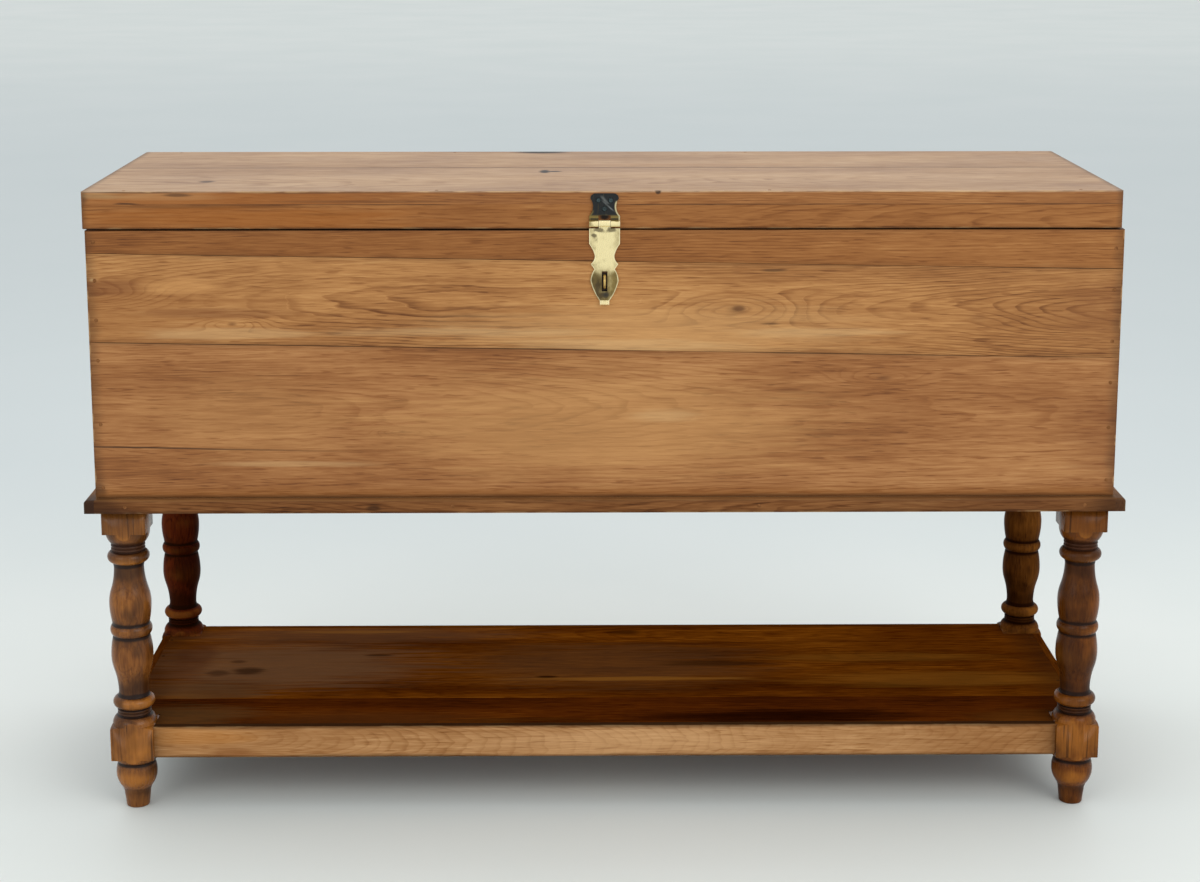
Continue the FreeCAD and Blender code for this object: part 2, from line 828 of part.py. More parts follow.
def hinge_recess(middle_x, on_lid):
    """The shallow bed for a leaf in the rim of the back wall or of the lid."""
    z0, z1 = leaf_level(on_lid)
    half = hinge_length / 2 + recess_play
    low, high = (lid_bottom - overrun, z1) if on_lid else (z0, case_rim + overrun)
    front = case_back - hinge_leaf_width - recess_play
    return block(middle_x - half, middle_x + half, front, case_back + overrun, low, high)


def hinge_screw_holes(on_lid):
    way = Vector(0, 0, 1) if on_lid else Vector(0, 0, -1)
    places = hinge_screw_places(-hinge_x, on_lid) + hinge_screw_places(hinge_x, on_lid)
    return [sunk_screw(place, way, screw_play) for place in places]


def add_hinges(pieces):
    """Makes the hinges and lets them into the back rail of the lid and the back wall."""
    for on_lid, owner, part in ((False, "back_board_upper", "case"), (True, "lid_rail_back", "lid")):
        beds = [hinge_recess(x, on_lid) for x in (-hinge_x, hinge_x)]
        pieces[owner] = pieces[owner].cut(beds + hinge_screw_holes(on_lid))
        way = Vector(0, 0, 1) if on_lid else Vector(0, 0, -1)
        places = hinge_screw_places(-hinge_x, on_lid) + hinge_screw_places(hinge_x, on_lid)
        pieces["hinge_" + part + "_screws"] = group([sunk_screw(place, way, 0) for place in places])
        for side, x in (("left", -hinge_x), ("right", hinge_x)):
            pieces["hinge_" + side + "_" + part + "_leaf"] = hinge_leaf(x, on_lid)
    for side, x in (("left", -hinge_x), ("right", hinge_x)):
        start = Vector(x - hinge_length / 2, hinge_axis_y, hinge_axis_z)
        pieces["hinge_" + side + "_pin"] = rod(hinge_pin_radius, start, Vector(1, 0, 0), hinge_length)


# Hasp
def hasp_bore():
    reach = hasp_width / 2 + overrun
    start = Vector(hasp_x - reach, hasp_axis_y, hasp_axis_z)
    return rod(hasp_pin_radius + pin_play, start, Vector(1, 0, 0), 2 * reach)


def hasp_screw_places():
    y = case_front - hasp_thickness
    top = hasp_axis_z + hasp_top_leaf_height
    upper = top - hasp_screw_top_drop
    return [
        Vector(hasp_x - hasp_screw_spread / 2, y, upper),
        Vector(hasp_x + hasp_screw_spread / 2, y, upper),
        Vector(hasp_x, y, top - hasp_screw_low_drop),
    ]


def arc_edge(a, b, c):
    return Part.Arc(a, b, c).toShape()


def mirrored_outline(half_edges, ends):
    """Closes a right-hand outline with its mirror image about the hasp's middle line."""
    flipped = [edge.mirror(Vector(hasp_x, 0, 0), Vector(1, 0, 0)) for edge in half_edges]
    caps = [Part.makeLine(Vector(2 * hasp_x - p.x, p.y, p.z), p) for p in ends]
    return Part.Wire(Part.__sortEdges__(half_edges + flipped + caps))


def hasp_top_leaf():
    """The fixed leaf with its two outer knuckles. A notch over the middle one lets the other leaf turn."""
    y = case_front
    half = hasp_width / 2
    waist = hasp_top_waist_width / 2
    top_half = hasp_top_width / 2
    top = hasp_axis_z + hasp_top_leaf_height
    low = hasp_axis_z
    flare = hasp_axis_z + hasp_flare_rise
    middle = (flare + top - hasp_top_corner) / 2
    p = lambda x, z: Vector(hasp_x + x, y, z)
    corner = hasp_top_corner * (1 - math.sqrt(1 / 2))
    edges = [
        Part.makeLine(p(half, low), p(half, flare)),
        arc_edge(p(half, flare), p(waist, middle), p(top_half, top - hasp_top_corner)),
        arc_edge(
            p(top_half, top - hasp_top_corner),
            p(top_half - corner, top - corner),
            p(top_half - hasp_top_corner, top),
        ),
    ]
    outline = mirrored_outline(edges, [p(half, low), p(top_half - hasp_top_corner, top)])
    leaf = Part.Face(outline).extrude(Vector(0, -hasp_thickness, 0))
    start = Vector(hasp_x - half, hasp_axis_y, hasp_axis_z)
    leaf = leaf.fuse(rod(hasp_knuckle_radius, start, Vector(1, 0, 0), hasp_width))
    gap_half = hasp_knuckle_width / 2 + hasp_knuckle_gap
    room = hasp_knuckle_radius + hasp_knuckle_gap
    gap = block(
        hasp_x - gap_half,
        hasp_x + gap_half,
        hasp_axis_y - room,
        case_front + overrun,
        hasp_axis_z - room,
        hasp_axis_z + hasp_knuckle_radius + hasp_notch_rise,
    )
    holes = [dome_screw(place, Vector(0, 1, 0), screw_play) for place in hasp_screw_places()]
    return leaf.cut([gap, hasp_bore()] + holes)


def hasp_leaf_outline(y):
    """The right half runs from the shoulder by the pin down to the lip, the left half mirrors it."""
    half = hasp_width / 2
    place = lambda width, share: Vector(hasp_x + half * width, y, hasp_axis_z - hasp_leaf_length * share)
    shoulder = Vector(hasp_x + half, y, hasp_axis_z - hasp_shoulder_drop)
    shoulder_end = place(1, leaf_shoulder_end_share)
    waist = place(leaf_waist_width_share, leaf_waist_share)
    point = place(leaf_point_width_share, leaf_point_share)
    notch = place(leaf_notch_width_share, leaf_notch_share)
    belly = place(leaf_belly_width_share, leaf_belly_share)
    tip = place(leaf_tip_width_share, 1)
    bend = place(*leaf_bend_shares)
    flank = place(*leaf_flank_shares)
    chest = place(*leaf_chest_shares)
    taper = place(*leaf_taper_shares)
    edges = [
        Part.makeLine(shoulder, shoulder_end),
        arc_edge(shoulder_end, bend, waist),
        arc_edge(waist, flank, point),
        Part.makeLine(point, notch),
        arc_edge(notch, chest, belly),
        arc_edge(belly, taper, tip),
    ]
    return mirrored_outline(edges, [shoulder, tip])


def hasp_lip(back_y):
    """The turned-out end that a finger lifts."""
    z = hasp_axis_z - hasp_leaf_length
    front_y = back_y - hasp_thickness
    slope_z = z - hasp_lip_length
    side = [
        Vector(0, back_y, z),
        Vector(0, front_y, z + hasp_thickness / 2),
        Vector(0, front_y - hasp_lip_reach, slope_z + hasp_thickness / 2),
        Vector(0, back_y - hasp_lip_reach, slope_z),
    ]
    face = Part.Face(Part.makePolygon(side + side[:1]))
    face.translate(Vector(hasp_x - hasp_lip_width / 2, 0, 0))
    return face.extrude(Vector(hasp_lip_width, 0, 0))


def hasp_leaf():
    """The swinging leaf with its middle knuckle, slot and lip."""
    back_y = case_front - hasp_face_gap
    leaf = Part.Face(hasp_leaf_outline(back_y)).extrude(Vector(0, -hasp_thickness, 0))
    half = hasp_knuckle_width / 2
    low = hasp_axis_z - hasp_shoulder_drop - hasp_thickness
    tongue = block(hasp_x - half, hasp_x + half, back_y - hasp_thickness, back_y, low, hasp_axis_z)
    start = Vector(hasp_x - half, hasp_axis_y, hasp_axis_z)
    knuckle = rod(hasp_knuckle_radius, start, Vector(1, 0, 0), hasp_knuckle_width)
    slot = block(
        hasp_x - hasp_slot_width / 2,
        hasp_x + hasp_slot_width / 2,
        back_y - hasp_thickness - overrun,
        back_y + overrun,
        staple_z - hasp_slot_length / 2,
        staple_z + hasp_slot_length / 2,
    )
    whole = leaf.fuse([tongue, knuckle, hasp_lip(back_y)])
    return whole.cut([slot, hasp_bore()]).removeSplitter()


def staple_body(play):
    """Wire bent into a loop, with two prongs into the front wall."""
    radius = staple_wire / 2
    spread = staple_height / 2 - radius
    bend_y = case_front - staple_reach + radius + spread
    prong = case_front + staple_root
    top = Vector(hasp_x, prong, staple_z + spread)
    low = Vector(hasp_x, prong, staple_z - spread)
    high_bend = Vector(hasp_x, bend_y, staple_z + spread)
    low_bend = Vector(hasp_x, bend_y, staple_z - spread)
    tip = Vector(hasp_x, bend_y - spread, staple_z)
    bend = arc_edge(high_bend, tip, low_bend)
    path = Part.Wire([Part.makeLine(top, high_bend), bend, Part.makeLine(low_bend, low)])
    ring = Part.Wire(Part.makeCircle(radius + play, top, Vector(0, 1, 0)))
    return path.makePipeShell([ring], True, False)


def staple_holes():
    spread = (staple_height - staple_wire) / 2
    radius = staple_wire / 2 + staple_play
    start_y = case_front - overrun
    depth = staple_root + overrun + staple_play
    way = Vector(0, 1, 0)
    return [rod(radius, Vector(hasp_x, start_y, staple_z + side * spread), way, depth) for side in (-1, 1)]


def add_hasp(pieces):
    screw_holes = [dome_screw(place, Vector(0, 1, 0), screw_play) for place in hasp_screw_places()]
    for name in ("lid_board_front", "lid_rail_front"):
        pieces[name] = pieces[name].cut(screw_holes)
    for name in ("front_board_top", "front_board_middle"):
        pieces[name] = pieces[name].cut(staple_holes())
    pieces["hasp_top_leaf"] = hasp_top_leaf()
    pieces["hasp_screws"] = group([dome_screw(place, Vector(0, 1, 0), 0) for place in hasp_screw_places()])
    start = Vector(hasp_x - hasp_width / 2, hasp_axis_y, hasp_axis_z)
    pieces["hasp_pin"] = rod(hasp_pin_radius, start, Vector(1, 0, 0), hasp_width)
    pieces["hasp_leaf"] = hasp_leaf()
    pieces["hasp_staple"] = staple_body(0)


def build():
    pieces = {}
    pieces.update(make_legs())
    pieces.update(make_shelf())
    pieces.update(make_case())
    pieces.update(make_lid())
    add_hinges(pieces)
    add_hasp(pieces)
    return pieces


os.makedirs("parts", exist_ok=True)
for name, shape in build().items():
    solids = shape.Solids
    whole = shape if len(solids) > 1 else solids[0]
    whole.exportStep(os.path.join("parts", name + ".step"))
    volume = sum(solid.Volume for solid in solids)
    print(name, len(solids), "solid(s)", round(volume), "mm3", shape.isValid())
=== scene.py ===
# %% [markdown]
# # Dressing a sugar chest
#
# A sugar chest is a long lidded case on turned legs. It kept sugar dry and locked away when sugar was dear.
# Its boards, legs and hinges come ready made from the workshop's exact model, so this lesson is about
# looks. It covers the camera, the light, the wood with its grain and wear, the worn brass, and the nails
# and screws.

# %% Load the chest
import math

import bmesh
import bpy
import numpy as np
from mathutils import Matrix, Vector


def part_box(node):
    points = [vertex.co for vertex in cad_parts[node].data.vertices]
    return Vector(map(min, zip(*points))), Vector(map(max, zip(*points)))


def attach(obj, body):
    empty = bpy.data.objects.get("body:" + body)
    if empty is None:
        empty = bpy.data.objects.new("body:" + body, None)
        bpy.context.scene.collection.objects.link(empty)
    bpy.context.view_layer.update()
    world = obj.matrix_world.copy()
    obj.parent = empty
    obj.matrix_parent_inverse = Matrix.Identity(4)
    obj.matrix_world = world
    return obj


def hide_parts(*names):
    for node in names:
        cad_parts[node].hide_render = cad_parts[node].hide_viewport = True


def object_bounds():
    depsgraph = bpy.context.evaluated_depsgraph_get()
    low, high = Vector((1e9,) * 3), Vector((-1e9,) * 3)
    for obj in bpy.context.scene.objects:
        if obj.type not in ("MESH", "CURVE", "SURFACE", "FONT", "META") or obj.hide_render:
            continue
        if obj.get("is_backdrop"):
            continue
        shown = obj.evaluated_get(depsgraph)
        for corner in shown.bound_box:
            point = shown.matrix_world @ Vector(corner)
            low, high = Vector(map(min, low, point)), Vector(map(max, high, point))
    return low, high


MM = 0.001
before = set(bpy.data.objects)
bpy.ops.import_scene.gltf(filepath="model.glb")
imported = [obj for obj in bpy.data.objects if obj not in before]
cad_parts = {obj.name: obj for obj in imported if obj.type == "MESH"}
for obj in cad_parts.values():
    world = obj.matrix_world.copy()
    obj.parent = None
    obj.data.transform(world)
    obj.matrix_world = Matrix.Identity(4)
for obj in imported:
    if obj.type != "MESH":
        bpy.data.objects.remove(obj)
cad_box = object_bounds()

# %% [markdown]
# ## The camera
#
# The chest was photographed from a little above its lid, straight from the front, with a lens shift that
# keeps the legs upright. The picture is 1200 pixels wide, and a focal length in pixels becomes one in
# millimetres by the width of the sensor. Blender's camera looks down its own -Z, so it is turned up by a
# right angle less the angle at which it looks down.

# %% Camera
PICTURE_WIDTH = 1200
FOCAL_PIXELS = 2220
SHIFT_PIXELS = 132
LOOKS_DOWN = math.radians(10.59)
LOOKS_RIGHT = math.radians(0.56)

camera_data = bpy.data.cameras.new("camera")
camera_data.sensor_width = 36
camera_data.lens = camera_data.sensor_width * FOCAL_PIXELS / PICTURE_WIDTH
camera_data.shift_y = -SHIFT_PIXELS / PICTURE_WIDTH
camera = bpy.data.objects.new("camera", camera_data)
camera.location = (-0.032, -2.773, 1.110)
camera.rotation_euler = (math.pi / 2 - LOOKS_DOWN, 0, -LOOKS_RIGHT)
bpy.context.scene.collection.objects.link(camera)
bpy.context.scene.camera = camera
print("lens", round(camera_data.lens, 1), "mm, shift", round(camera_data.shift_y, 3))

# %% [markdown]
# ## Shader maths as plain sums
#
# A material is a graph of small nodes, and sums written as nodes are hard to read. The class below wraps
# one socket, so that `1 - mask` or `ring * 0.4` adds the node by itself. Colours and vectors don't go
# through it, because a Math node would turn a colour grey. They use the finish's own `node` method, which
# makes any node from its type, its settings and the values or links of its sockets.

# %% Graphs, values and finishes
class Graph:
    """A tree of nodes, for a material or for geometry."""

    def __init__(self, tree):
        self.tree = tree

    def fill(self, socket, value):
        value = getattr(value, "socket", value)
        if isinstance(value, bpy.types.NodeSocket):
            self.tree.links.new(value, socket)
        else:
            socket.default_value = value

    def node(self, kind, settings=(), values=(), output=0):
        """Any node. Settings are its properties or a ramp's stops, values fill its sockets."""
        made = self.tree.nodes.new(kind)
        for name, setting in dict(settings).items():
            if name == "stops":
                steps = made.color_ramp.elements
                while len(steps) < len(setting):
                    steps.new(1)
                for step, (place, colour) in zip(steps, setting):
                    step.position, step.color = place, colour
            else:
                setattr(made, name, setting)
        for name, value in dict(values).items():
            self.fill(made.inputs[name], value)
        return Value(self, made.outputs[output])


class Value:
    """One socket of a graph. Sums on it add Math nodes."""

    def __init__(self, graph, socket):
        self.graph, self.socket = graph, socket

    def math(self, operation, *others):
        values = dict(enumerate((self,) + others))
        return self.graph.node("ShaderNodeMath", {"operation": operation}, values)

    def __add__(self, other):
        return self.math("ADD", other)

    def __mul__(self, other):
        return self.math("MULTIPLY", other)

    def __sub__(self, other):
        return self.math("SUBTRACT", other)

    def __rsub__(self, other):
        return (self * -1.0).math("ADD", other)

    def __truediv__(self, other):
        return self.math("DIVIDE", other)

    __radd__, __rmul__ = __add__, __mul__

    def at_least(self, other):
        return self.math("MAXIMUM", other)

    def at_most(self, other):
        return self.math("MINIMUM", other)

    def size(self):
        return self.math("ABSOLUTE")

    def rise(self, low, high):
        """0 below low, 1 above high, and a smooth step between. With low above high it falls."""
        if low > high:
            return 1 - self.rise(high, low)
        values = {"Value": self, "From Min": low, "From Max": high}
        return self.graph.node("ShaderNodeMapRange", {"interpolation_type": "SMOOTHSTEP"}, values)


class Finish(Graph):
    """One material, with its Principled shader."""

    def __init__(self, name):
        self.material = bpy.data.materials.new(name)
        self.material.use_nodes = True
        super().__init__(self.material.node_tree)
        self.shader = self.tree.nodes["Principled BSDF"]

    def set(self, **sockets):
        """Fills sockets of the Principled shader: base_color is its socket Base Color."""
        for name, value in sockets.items():
            words = [word.upper() if word == "ior" else word.capitalize() for word in name.split("_")]
            self.fill(self.shader.inputs[" ".join(words)], value)

    def ramp(self, level, stops):
        return self.node("ShaderNodeValToRGB", {"stops": stops}, {"Fac": level})

    def attribute(self, name):
        return self.node("ShaderNodeAttribute", {"attribute_name": name}, output="Fac")

    def mix(self, factor, first, second):
        return self.node("ShaderNodeMix", {"data_type": "RGBA"}, {0: factor, 6: first, 7: second}, 2)


def tone(red, green, blue):
    """A colour as a picture shows it, 0 to 255, turned into the light that a shader works with."""
    parts = [part / 255 for part in (red, green, blue)]
    return [p / 12.92 if p <= 0.04045 else ((p + 0.055) / 1.055) ** 2.4 for p in parts] + [1.0]


print("a mid brown is", [round(part, 3) for part in tone(165, 115, 68)])

# %% [markdown]
# ## Floor and light
#
# The floor is plain and pale. Behind the chest it is a little darker, and far away it fades into the colour
# of the room, so that no hard horizon shows from the side. The light is that of a bright room: it comes
# from all round, with one large soft lamp at the front right that models the legs, a weaker one at the
# front left, and one overhead for the lid.

# %% Floor
FLOOR_REACH = 60.0

floor_mesh = bpy.data.meshes.new("floor")
corners = [(x * FLOOR_REACH, y * FLOOR_REACH, 0) for x, y in ((-1, -1), (1, -1), (1, 1), (-1, 1))]
floor_mesh.from_pydata(corners, [], [(0, 1, 2, 3)])
floor = bpy.data.objects.new("floor", floor_mesh)
bpy.context.scene.collection.objects.link(floor)
paint = Finish("pale_floor")
ground = paint.node("ShaderNodeTexCoord", output="Object")
mottle = paint.node("ShaderNodeTexNoise", {}, {"Vector": ground, "Scale": 1.4, "Detail": 4.0})
shade = paint.ramp(mottle, [(0.25, tone(220, 225, 222)), (0.75, tone(227, 230, 227))])
away = paint.node("ShaderNodeVectorMath", {"operation": "LENGTH"}, {0: ground}, "Value")
shade = paint.mix(away.rise(25.0, FLOOR_REACH), shade, tone(252, 253, 253))
behind = paint.node("ShaderNodeSeparateXYZ", {}, {"Vector": ground}, "Y")
shade = paint.mix(behind.rise(0.2, 1.6) * behind.rise(16.0, 5.0) * 0.6, shade, tone(196, 204, 207))
paint.set(base_color=shade, roughness=0.6)
floor_mesh.materials.append(paint.material)
floor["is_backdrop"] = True
print("floor reaches", FLOOR_REACH, "m")

# %% Lamps
def lamp(name, place, target, width, height, power, colour):
    data = bpy.data.lights.new(name, "AREA")
    data.shape, data.size, data.size_y = "RECTANGLE", width, height
    data.energy, data.color = power, colour
    made = bpy.data.objects.new(name, data)
    made.location = place
    made.rotation_euler = (Vector(target) - Vector(place)).to_track_quat("-Z", "Y").to_euler()
    bpy.context.scene.collection.objects.link(made)


lamp("window_right", (2.2, -3.0, 2.3), (0, 0, 0.5), 2.4, 2.0, 43, (1.0, 0.98, 0.94))
lamp("window_left", (-2.6, -3.0, 1.8), (0, 0, 0.5), 2.2, 2.0, 20, (0.97, 0.99, 1.0))
lamp("ceiling", (0, 0.4, 3.2), (0, 0, 0.7), 3.0, 2.0, 24, (1.0, 0.99, 0.97))
sky = bpy.data.worlds.new("room")
sky.use_nodes = True
sky.node_tree.nodes["Background"].inputs["Color"].default_value = (0.93, 0.965, 0.98, 1)
sky.node_tree.nodes["Background"].inputs["Strength"].default_value = 0.90
bpy.context.scene.world = sky
bpy.context.scene.view_settings.view_transform = "Standard"

# %% [markdown]
# ## Wood, as a tree makes it
#
# A tree adds a ring every year round its heart, so the grain of a board is a cut through nested tubes. The
# finish does the same: it measures how far each point is from a heart line and draws a dark late-wood edge
# at every ring. Noise stretched along the grain bends the tubes, and that gives the arches and long
# streaks. It is a pattern in space and not on the surface, so end grain and edges match the faces without
# any work.

# %% Grain
class Wood(Finish):
    """A finish whose grain runs along one axis of the chest."""

    def __init__(self, name, along, seed):
        super().__init__(name)
        self.along, self.seed = "XYZ".index(along), seed
        self.place = self.node("ShaderNodeTexCoord", output="Object")
        parts = [self.node("ShaderNodeSeparateXYZ", {}, {"Vector": self.place}, i) for i in range(3)]
        self.x, self.y, self.z = parts
        self.ahead = parts[self.along]

    def noise(self, lengthwise, crosswise, detail=2.0, turn=0.0, output="Fac"):
        """Noise with so many cycles per metre along and across the grain."""
        scale = [crosswise] * 3
        scale[self.along] = lengthwise
        shift = [self.seed * 3.7 + turn, self.seed * 1.3, self.seed * 2.1]
        spread = self.node("ShaderNodeMapping", {}, {"Vector": self.place, "Location": shift, "Scale": scale})
        return self.node("ShaderNodeTexNoise", {}, {"Vector": spread, "Scale": 1.0, "Detail": detail}, output)

    def vector(self, operation, *values, output="Vector"):
        return self.node("ShaderNodeVectorMath", {"operation": operation}, dict(enumerate(values)), output)

    def rings(self, heart, spacing, wander, tilt=(0, 0, 0), pulls=()):
        """Late-wood lines and a shade for each ring. They lie round the heart, a line that may be tilted."""
        across = [wander, wander, wander]
        across[self.along] = 0.0
        flat = [1.0 if part else 0.0 for part in across]
        bend = self.vector("SUBTRACT", self.noise(0.8, 2.4, 1.0, 5.0, "Color"), [0.5, 0.5, 0.5])
        middle = self.vector("MULTIPLY_ADD", self.ahead, tilt, heart)
        reach = self.vector("MULTIPLY", self.vector("SUBTRACT", self.place, middle), flat)
        reach = self.vector("ADD", reach, self.vector("MULTIPLY", bend, across))
        wave = (self.noise(5.0, 34.0, 2.0, 11.0) - 0.5) * (8 * MM / spacing)
        ripple = (self.noise(26.0, 120.0, 2.0, 12.0) - 0.5) * (1.6 * MM / spacing)
        phase = self.vector("LENGTH", reach, output="Value") / spacing + wave + ripple
        for near, strength in pulls:
            phase = phase + near * near * strength
        ring = phase.math("FRACT")
        late = ring.rise(0.55, 0.92) * ring.rise(1.0, 0.92)
        year = phase.math("FLOOR") + self.seed
        shade = self.node("ShaderNodeTexWhiteNoise", {"noise_dimensions": "1D"}, {"W": year})
        return late, shade

    def near(self, along, across, length, width, side="z"):
        """1 at a spot on the face, falling to 0 at its rim. Side is the coordinate across the grain."""
        run = (self.ahead - along) / length
        rise = (getattr(self, side) - across) / width
        return (run * run + rise * rise).math("SQRT").rise(1.0, 0.0)

    def from_face(self, node, face):
        """How far a point lies inside one face of a piece's box: "-y" is its front face."""
        side, axis = face
        low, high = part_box(node)
        place = getattr(self, axis)
        return place - getattr(low, axis) if side == "-" else getattr(high, axis) - place

    def inset(self, node, axis):
        """How far a point lies inside the nearer of the two faces across an axis."""
        return self.from_face(node, "-" + axis).at_most(self.from_face(node, "+" + axis))

    def rough(self, lengthwise, crosswise, reach):
        """Shifts that make a line ragged, by up to about half the reach to either side."""
        return (self.noise(lengthwise, crosswise, 3.0, 41.0) - 0.5) * reach

    def bump(self, height, depth):
        return self.node("ShaderNodeBump", {}, {"Height": height, "Distance": depth, "Strength": 1.0})


# %% [markdown]
# ## The finish of the boards
#
# Old polished wood has four layers: the grain, slow drifts of colour from board to board, dirt that has
# gathered in seams and corners, and edges that are rounded, chipped and rubbed. The functions below lay
# them over each other. On either face of an edge, the distances to its two faces add up to the distance
# from the edge. The inside of the case was never polished, so behind the outer face the wood turns pale and
# dull. Knots and spots are rows of a table: place along and across the grain, half length and half width,
# then strength and, for a spot, its tone. A fifth value names the coordinate across the grain where that
# isn't the height.

# %% Board finish
def palette(*tones):
    """Four tones from dark to light become the stops of a ramp."""
    return [(place, tone(*colour)) for place, colour in zip((0.0, 0.36, 0.60, 1.0), tones)]


HONEY = palette((100, 56, 22), (149, 98, 52), (176, 124, 72), (208, 160, 104))
TAWNY = palette((94, 50, 20), (140, 88, 46), (164, 112, 66), (196, 146, 94))
RED_BROWN = palette((84, 42, 12), (130, 78, 34), (152, 98, 50), (184, 132, 78))
# Pale tones for the lid's top: faded wood and a painted sheen.
FADED_AND_SHEEN = palette((110, 76, 50), (152, 117, 87), (176, 143, 111), (204, 175, 144))
PALE = palette((112, 68, 32), (158, 112, 70), (184, 139, 94), (214, 174, 130))
UMBER = palette((50, 24, 8), (102, 60, 28), (130, 84, 46), (166, 118, 72))
TURNED = palette((46, 17, 1), (88, 44, 9), (114, 63, 18), (152, 94, 34))
AMBERED = palette((66, 30, 8), (108, 62, 24), (138, 85, 36), (174, 116, 54))
# Palettes for the back legs: their own redder tone, darkened further by painted shade.
DEEP_RED_AND_SHADED = palette((28, 7, 2), (60, 19, 6), (80, 30, 8), (114, 56, 16))
BROWN_AND_SHADED = palette((30, 11, 2), (64, 33, 9), (88, 50, 16), (124, 80, 30))
# The shelf's palettes are its dark stain and also painted shade from the case above it.
STAINED_AND_SHADED = palette((30, 8, 0), (80, 36, 2), (110, 58, 8), (166, 102, 30))
NEARLY_BLACK_AND_SHADED = palette((24, 5, 0), (66, 27, 4), (90, 41, 6), (138, 80, 22))
RAW = palette((120, 88, 58), (158, 124, 88), (176, 143, 105), (196, 165, 128))
DIRT = tone(46, 24, 10)
KNOT = tone(84, 46, 20)
# Near-black for soot stains, also used as painted shade in the hasp's slot and notch and in the knot hole.
SOOT_AND_SHADE = tone(24, 12, 5)
DUSK = tone(112, 62, 30)
STRAW = tone(206, 168, 118)
BLACK_WAX = tone(22, 4, 0)
BUMP_DEPTH = 0.2 * MM
EDGE_ROUNDING = 3.2 * MM
FRONT_CORNERS = ("-x -y", "+x -y")


def wood(name, along, seed, stops, heart, spacing=2.8 * MM, wander=0.14, figure=0.5, tilt=(0, 0, 0), knots=(),
         streaks=1.0):
    """The grain and the drifts of colour, left on the finish as level, colour, height and dull."""
    made = Wood(name, along, seed)
    pulls = [(made.near(*spot), strength) for spot, strength in knots]
    late, shade = made.rings(heart, spacing, wander, tilt, pulls)
    fibre = made.noise(17.0, 300.0, 3.0, 2.0)
    hair = made.noise(36.0, 560.0, 2.0, 3.0)
    pores = made.noise(34.0, 460.0, 1.0, 7.0).rise(0.60, 0.72)
    drift = made.noise(2.2, 19.0, 4.0, 17.0)
    patch = made.noise(5.0, 9.0, 4.0, 23.0)
    clear = made.noise(2.4, 11.0, 2.0, 31.0).rise(0.36, 0.64)
    for pull, strength in pulls:
        clear = clear.at_least(pull.rise(0.0, 0.4) * 0.45)
    made.level = 0.5 + (fibre - 0.5) * 0.42 + (hair - 0.5) * 0.46 + (drift - 0.5) * (0.56 * streaks)
    made.level = made.level + (patch - 0.5) * 0.5 + (shade - 0.5) * (0.10 * figure)
    made.level = made.level - late * (clear * 0.85 + 0.15) * (0.34 * figure) - pores * 0.19
    made.colour = made.ramp(made.level, stops)
    made.height = fibre * 0.5 + hair * 0.4 - pores * 0.5 - late * (0.3 * figure)
    made.dull = 0.56 + (patch - 0.5) * 0.3 - (fibre - 0.5) * 0.2
    for (along_at, across_at, length, width, *side), strength in knots:
        core = made.near(along_at, across_at, length * 0.10, width * 0.20, *side)
        made.colour = made.mix(core * (0.12 * strength), made.colour, KNOT)
    return made


def stain(made, spots):
    """Lays spots over the colour, with rims drawn out by the grain. A last value can be a mask's function."""
    ragged = (made.noise(11.0, 170.0, 3.0, 61.0) - 0.5) * 1.5
    for spot, strength, colour, *where in spots:
        place = made.near(*spot)
        cover = (place * 1.2 + ragged * place.rise(0.0, 0.25)).rise(0.05, 1.0) * strength
        for mask in where:
            cover = cover * mask(made)
        made.colour = made.mix(cover, made.colour, colour)


def wear_edges(made, node, edges):
    """Rounds, soils and rubs edges. An edge is named by its two faces: "-y +z" is front and top."""
    chip = made.noise(24.0, 60.0, 3.0, 71.0)
    for edge in edges:
        from_edge = sum(made.from_face(node, face) for face in edge.split())
        round_off = from_edge.rise(EDGE_ROUNDING, 0.0) * (0.3 * EDGE_ROUNDING / BUMP_DEPTH)
        made.height = made.height - round_off
        thin = (from_edge + (chip - 0.5) * (4 * MM)).rise(1.8 * MM, 0.3 * MM)
        made.colour = made.mix(thin * chip.rise(0.50, 0.60) * 0.6, made.colour, DIRT)
        made.colour = made.mix(thin * chip.rise(0.50, 0.40) * 0.35, made.colour, STRAW)


def soak(made, soil, dent=1.0):
    """Dirt darkens the colour and lies a little below the surface; on the front boards a painted shadow line
    does too.
    """
    made.colour = made.mix(soil, made.colour, DIRT)
    made.height = made.height - soil * dent


def recolour(made, mask, stops):
    """The same grain in other tones, where the mask says."""
    made.colour = made.mix(mask, made.colour, made.ramp(made.level, stops))


def bare_inside(made, node, face, from_end):
    """Raw wood on the face that was never polished, but not on the end grain."""
    recolour(made, made.from_face(node, face).rise(1.5 * MM, 0.5 * MM) * from_end.rise(3 * MM, 5 * MM), RAW)


def close(made, depth=BUMP_DEPTH, **more):
    """Links the layers to the shader and returns the material."""
    made.set(base_color=made.colour, roughness=made.dull, normal=made.bump(made.height, depth), **more)
    return made.material


def dress(node, material):
    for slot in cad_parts[node].material_slots:
        slot.material = material


# %% [markdown]
# ## The front wall
#
# The seams of the front wall slope, so the dirt in a seam has to follow a slanted line. Each board's two
# long edges are measured from its mesh: its lowest and highest points at the left and at the right end.

# %% Slanted edges
def slanted_edges(node):
    """For a board along X: (height at x = 0, slope) of its lower and of its upper edge."""
    points = np.array([v.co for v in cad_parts[node].data.vertices])
    left, right = points[:, 0].min(), points[:, 0].max()
    lines = []
    for pick in (np.min, np.max):
        ends = [pick(points[np.abs(points[:, 0] - x) < 2 * MM][:, 2]) for x in (left, right)]
        slope = (ends[1] - ends[0]) / (right - left)
        lines.append((float(ends[0] - slope * left), float(slope)))
    return lines


